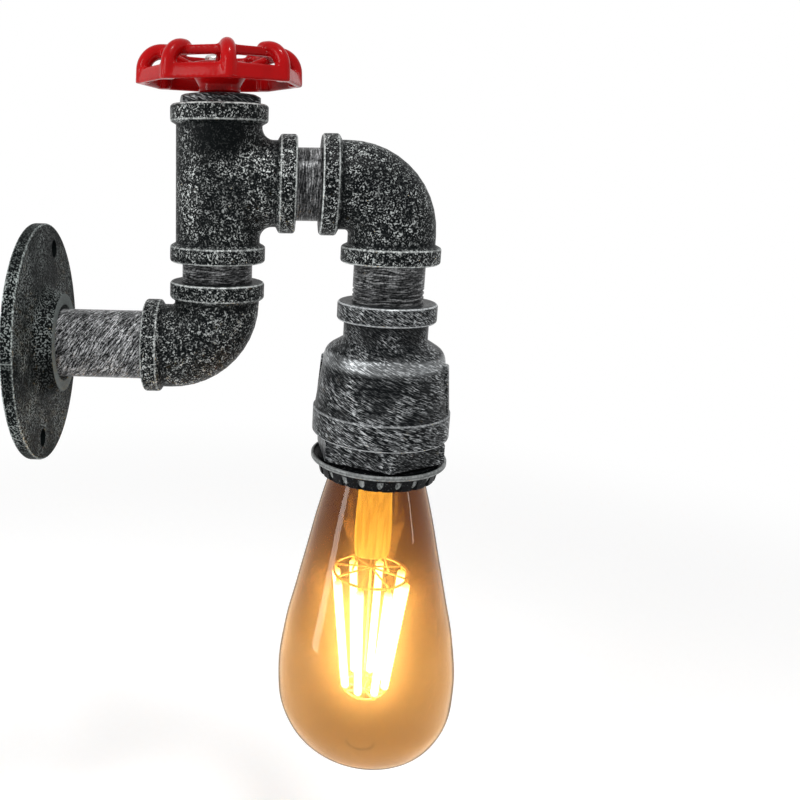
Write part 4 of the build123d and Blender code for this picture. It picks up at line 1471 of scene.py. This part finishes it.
@dataclass
class Studio:
    """White room, pale floor, soft lamps and the camera of the photograph.

    Attributes:
        floor_z: height of the floor, in metres.
        floor_half: half of its width, in metres.
        floor_glow: light that the floor gives of itself, so that it shows white.
        floor_fade: where the floor starts to fade into the room, and where it has, in millimetres.
        fill: level of the room's even light.
        softboxes: the lamps.
        eye: place of the camera, in metres.
        yaw: of the camera, in degrees, as the next two.
        pitch: of the camera.
        roll: of the camera.
        lens: in millimetres, on a 36 mm sensor.
        shift: of the picture, as shares of its width.
    """

    floor_z: float = -0.30
    floor_half: float = 6.0
    floor_glow: float = 0.46
    floor_fade: Spot = (350.0, 900.0)
    fill: float = 0.28
    softboxes: tuple[Softbox, ...] = (
        Softbox("overhead", (0.24, -0.32, 0.78), (0.10, 0.0, 0.02), (0.18, 0.14), 5.0),
        Softbox("front_left", (-0.45, -0.55, 0.35), (0.10, 0.0, 0.02), (0.30, 0.30), 2.6),
        Softbox("left_strip", (-0.55, -0.18, -0.05), (0.12, 0.0, -0.08), (0.14, 0.55), 2.4),
        Softbox("right_strip", (0.75, -0.22, -0.02), (0.13, 0.0, -0.08), (0.03, 0.22), 0.25),
    )
    eye: tuple[float, float, float] = (0.093024, -0.316012, 0.068706)
    yaw: float = -3.525
    pitch: float = -13.520
    roll: float = -0.822
    lens: float = 37.055
    shift: Spot = (0.2243, -0.0437)

    def camera(self) -> None:
        """Sets the camera at the photograph's viewing angle."""
        data = bpy.data.cameras.new("camera")
        data.lens, data.sensor_width = self.lens, 36.0
        data.shift_x, data.shift_y = self.shift
        data.clip_start = 0.01
        holder = bpy.data.objects.new("camera", data)
        turn = (
            Matrix.Rotation(-math.radians(self.yaw), 3, "Z")
            @ Matrix.Rotation(math.radians(self.pitch), 3, "X")
            @ Matrix.Rotation(math.radians(self.roll), 3, "Y")
            @ Matrix.Rotation(math.radians(90.0), 3, "X")
        )
        holder.matrix_world = Matrix.Translation(self.eye) @ turn.to_4x4()
        bpy.context.scene.collection.objects.link(holder)
        bpy.context.scene.camera = holder

    def floor(self) -> None:
        """Lays a pale floor that fades into the white room."""
        deselect()
        bpy.ops.mesh.primitive_plane_add(size=2 * self.floor_half, location=(0.1, 0.0, self.floor_z))
        plane = bpy.context.object
        plane.name = "floor"
        material = bpy.data.materials.new("pale_floor")
        material.use_nodes = True
        sheet = Sheet(material.node_tree)
        x, y, _ = sheet.xyz
        away = sheet.step(sheet.length(x, y), *self.floor_fade)
        white = (1.0, 1.0, 1.0)
        pale = sheet.surface(
            Base_Color=(0.80, 0.80, 0.80),
            Roughness=0.9,
            Emission_Color=white,
            Emission_Strength=self.floor_glow,
        )
        plain = sheet.node("Emission", None, {"Color": white, "Strength": 1.0})
        shown = sheet.mixed(sheet.seen_or_mirrored() * away, pale, plain)
        sheet.node("OutputMaterial", None, {"Surface": shown})
        dress(plane, material)

    def room(self) -> None:
        """Makes the world white where it is seen or mirrored, and a plain fill elsewhere."""
        world = bpy.data.worlds.new("room")
        bpy.context.scene.world = world
        world.use_nodes = True
        sheet = Sheet(world.node_tree)
        level = self.fill + (1.0 - self.fill) * sheet.seen_or_mirrored()
        back = sheet.node("Background", None, {"Color": (1.0, 1.0, 1.0), "Strength": level})
        sheet.node("OutputWorld", None, {"Surface": back})

    def build(self) -> None:
        """Sets the whole studio."""
        self.camera()
        self.floor()
        self.room()
        for lamp in self.softboxes:
            lamp.hang()
        bpy.context.scene.view_settings.view_transform = "Standard"
        LOG.info("studio: %d softboxes", len(self.softboxes))


def main() -> None:
    """Builds the studio and then the light, from the wall outwards."""
    logging.basicConfig(level=logging.INFO, format="%(name)s %(message)s")
    steps: tuple[Callable[[], Any], ...] = (
        Studio().build,
        Pipework().build,
        Lampholder().build,
        ValveWheel().build,
        FilamentLamp().build,
    )
    for step in steps:
        step()


if __name__ == "__main__":
    main()
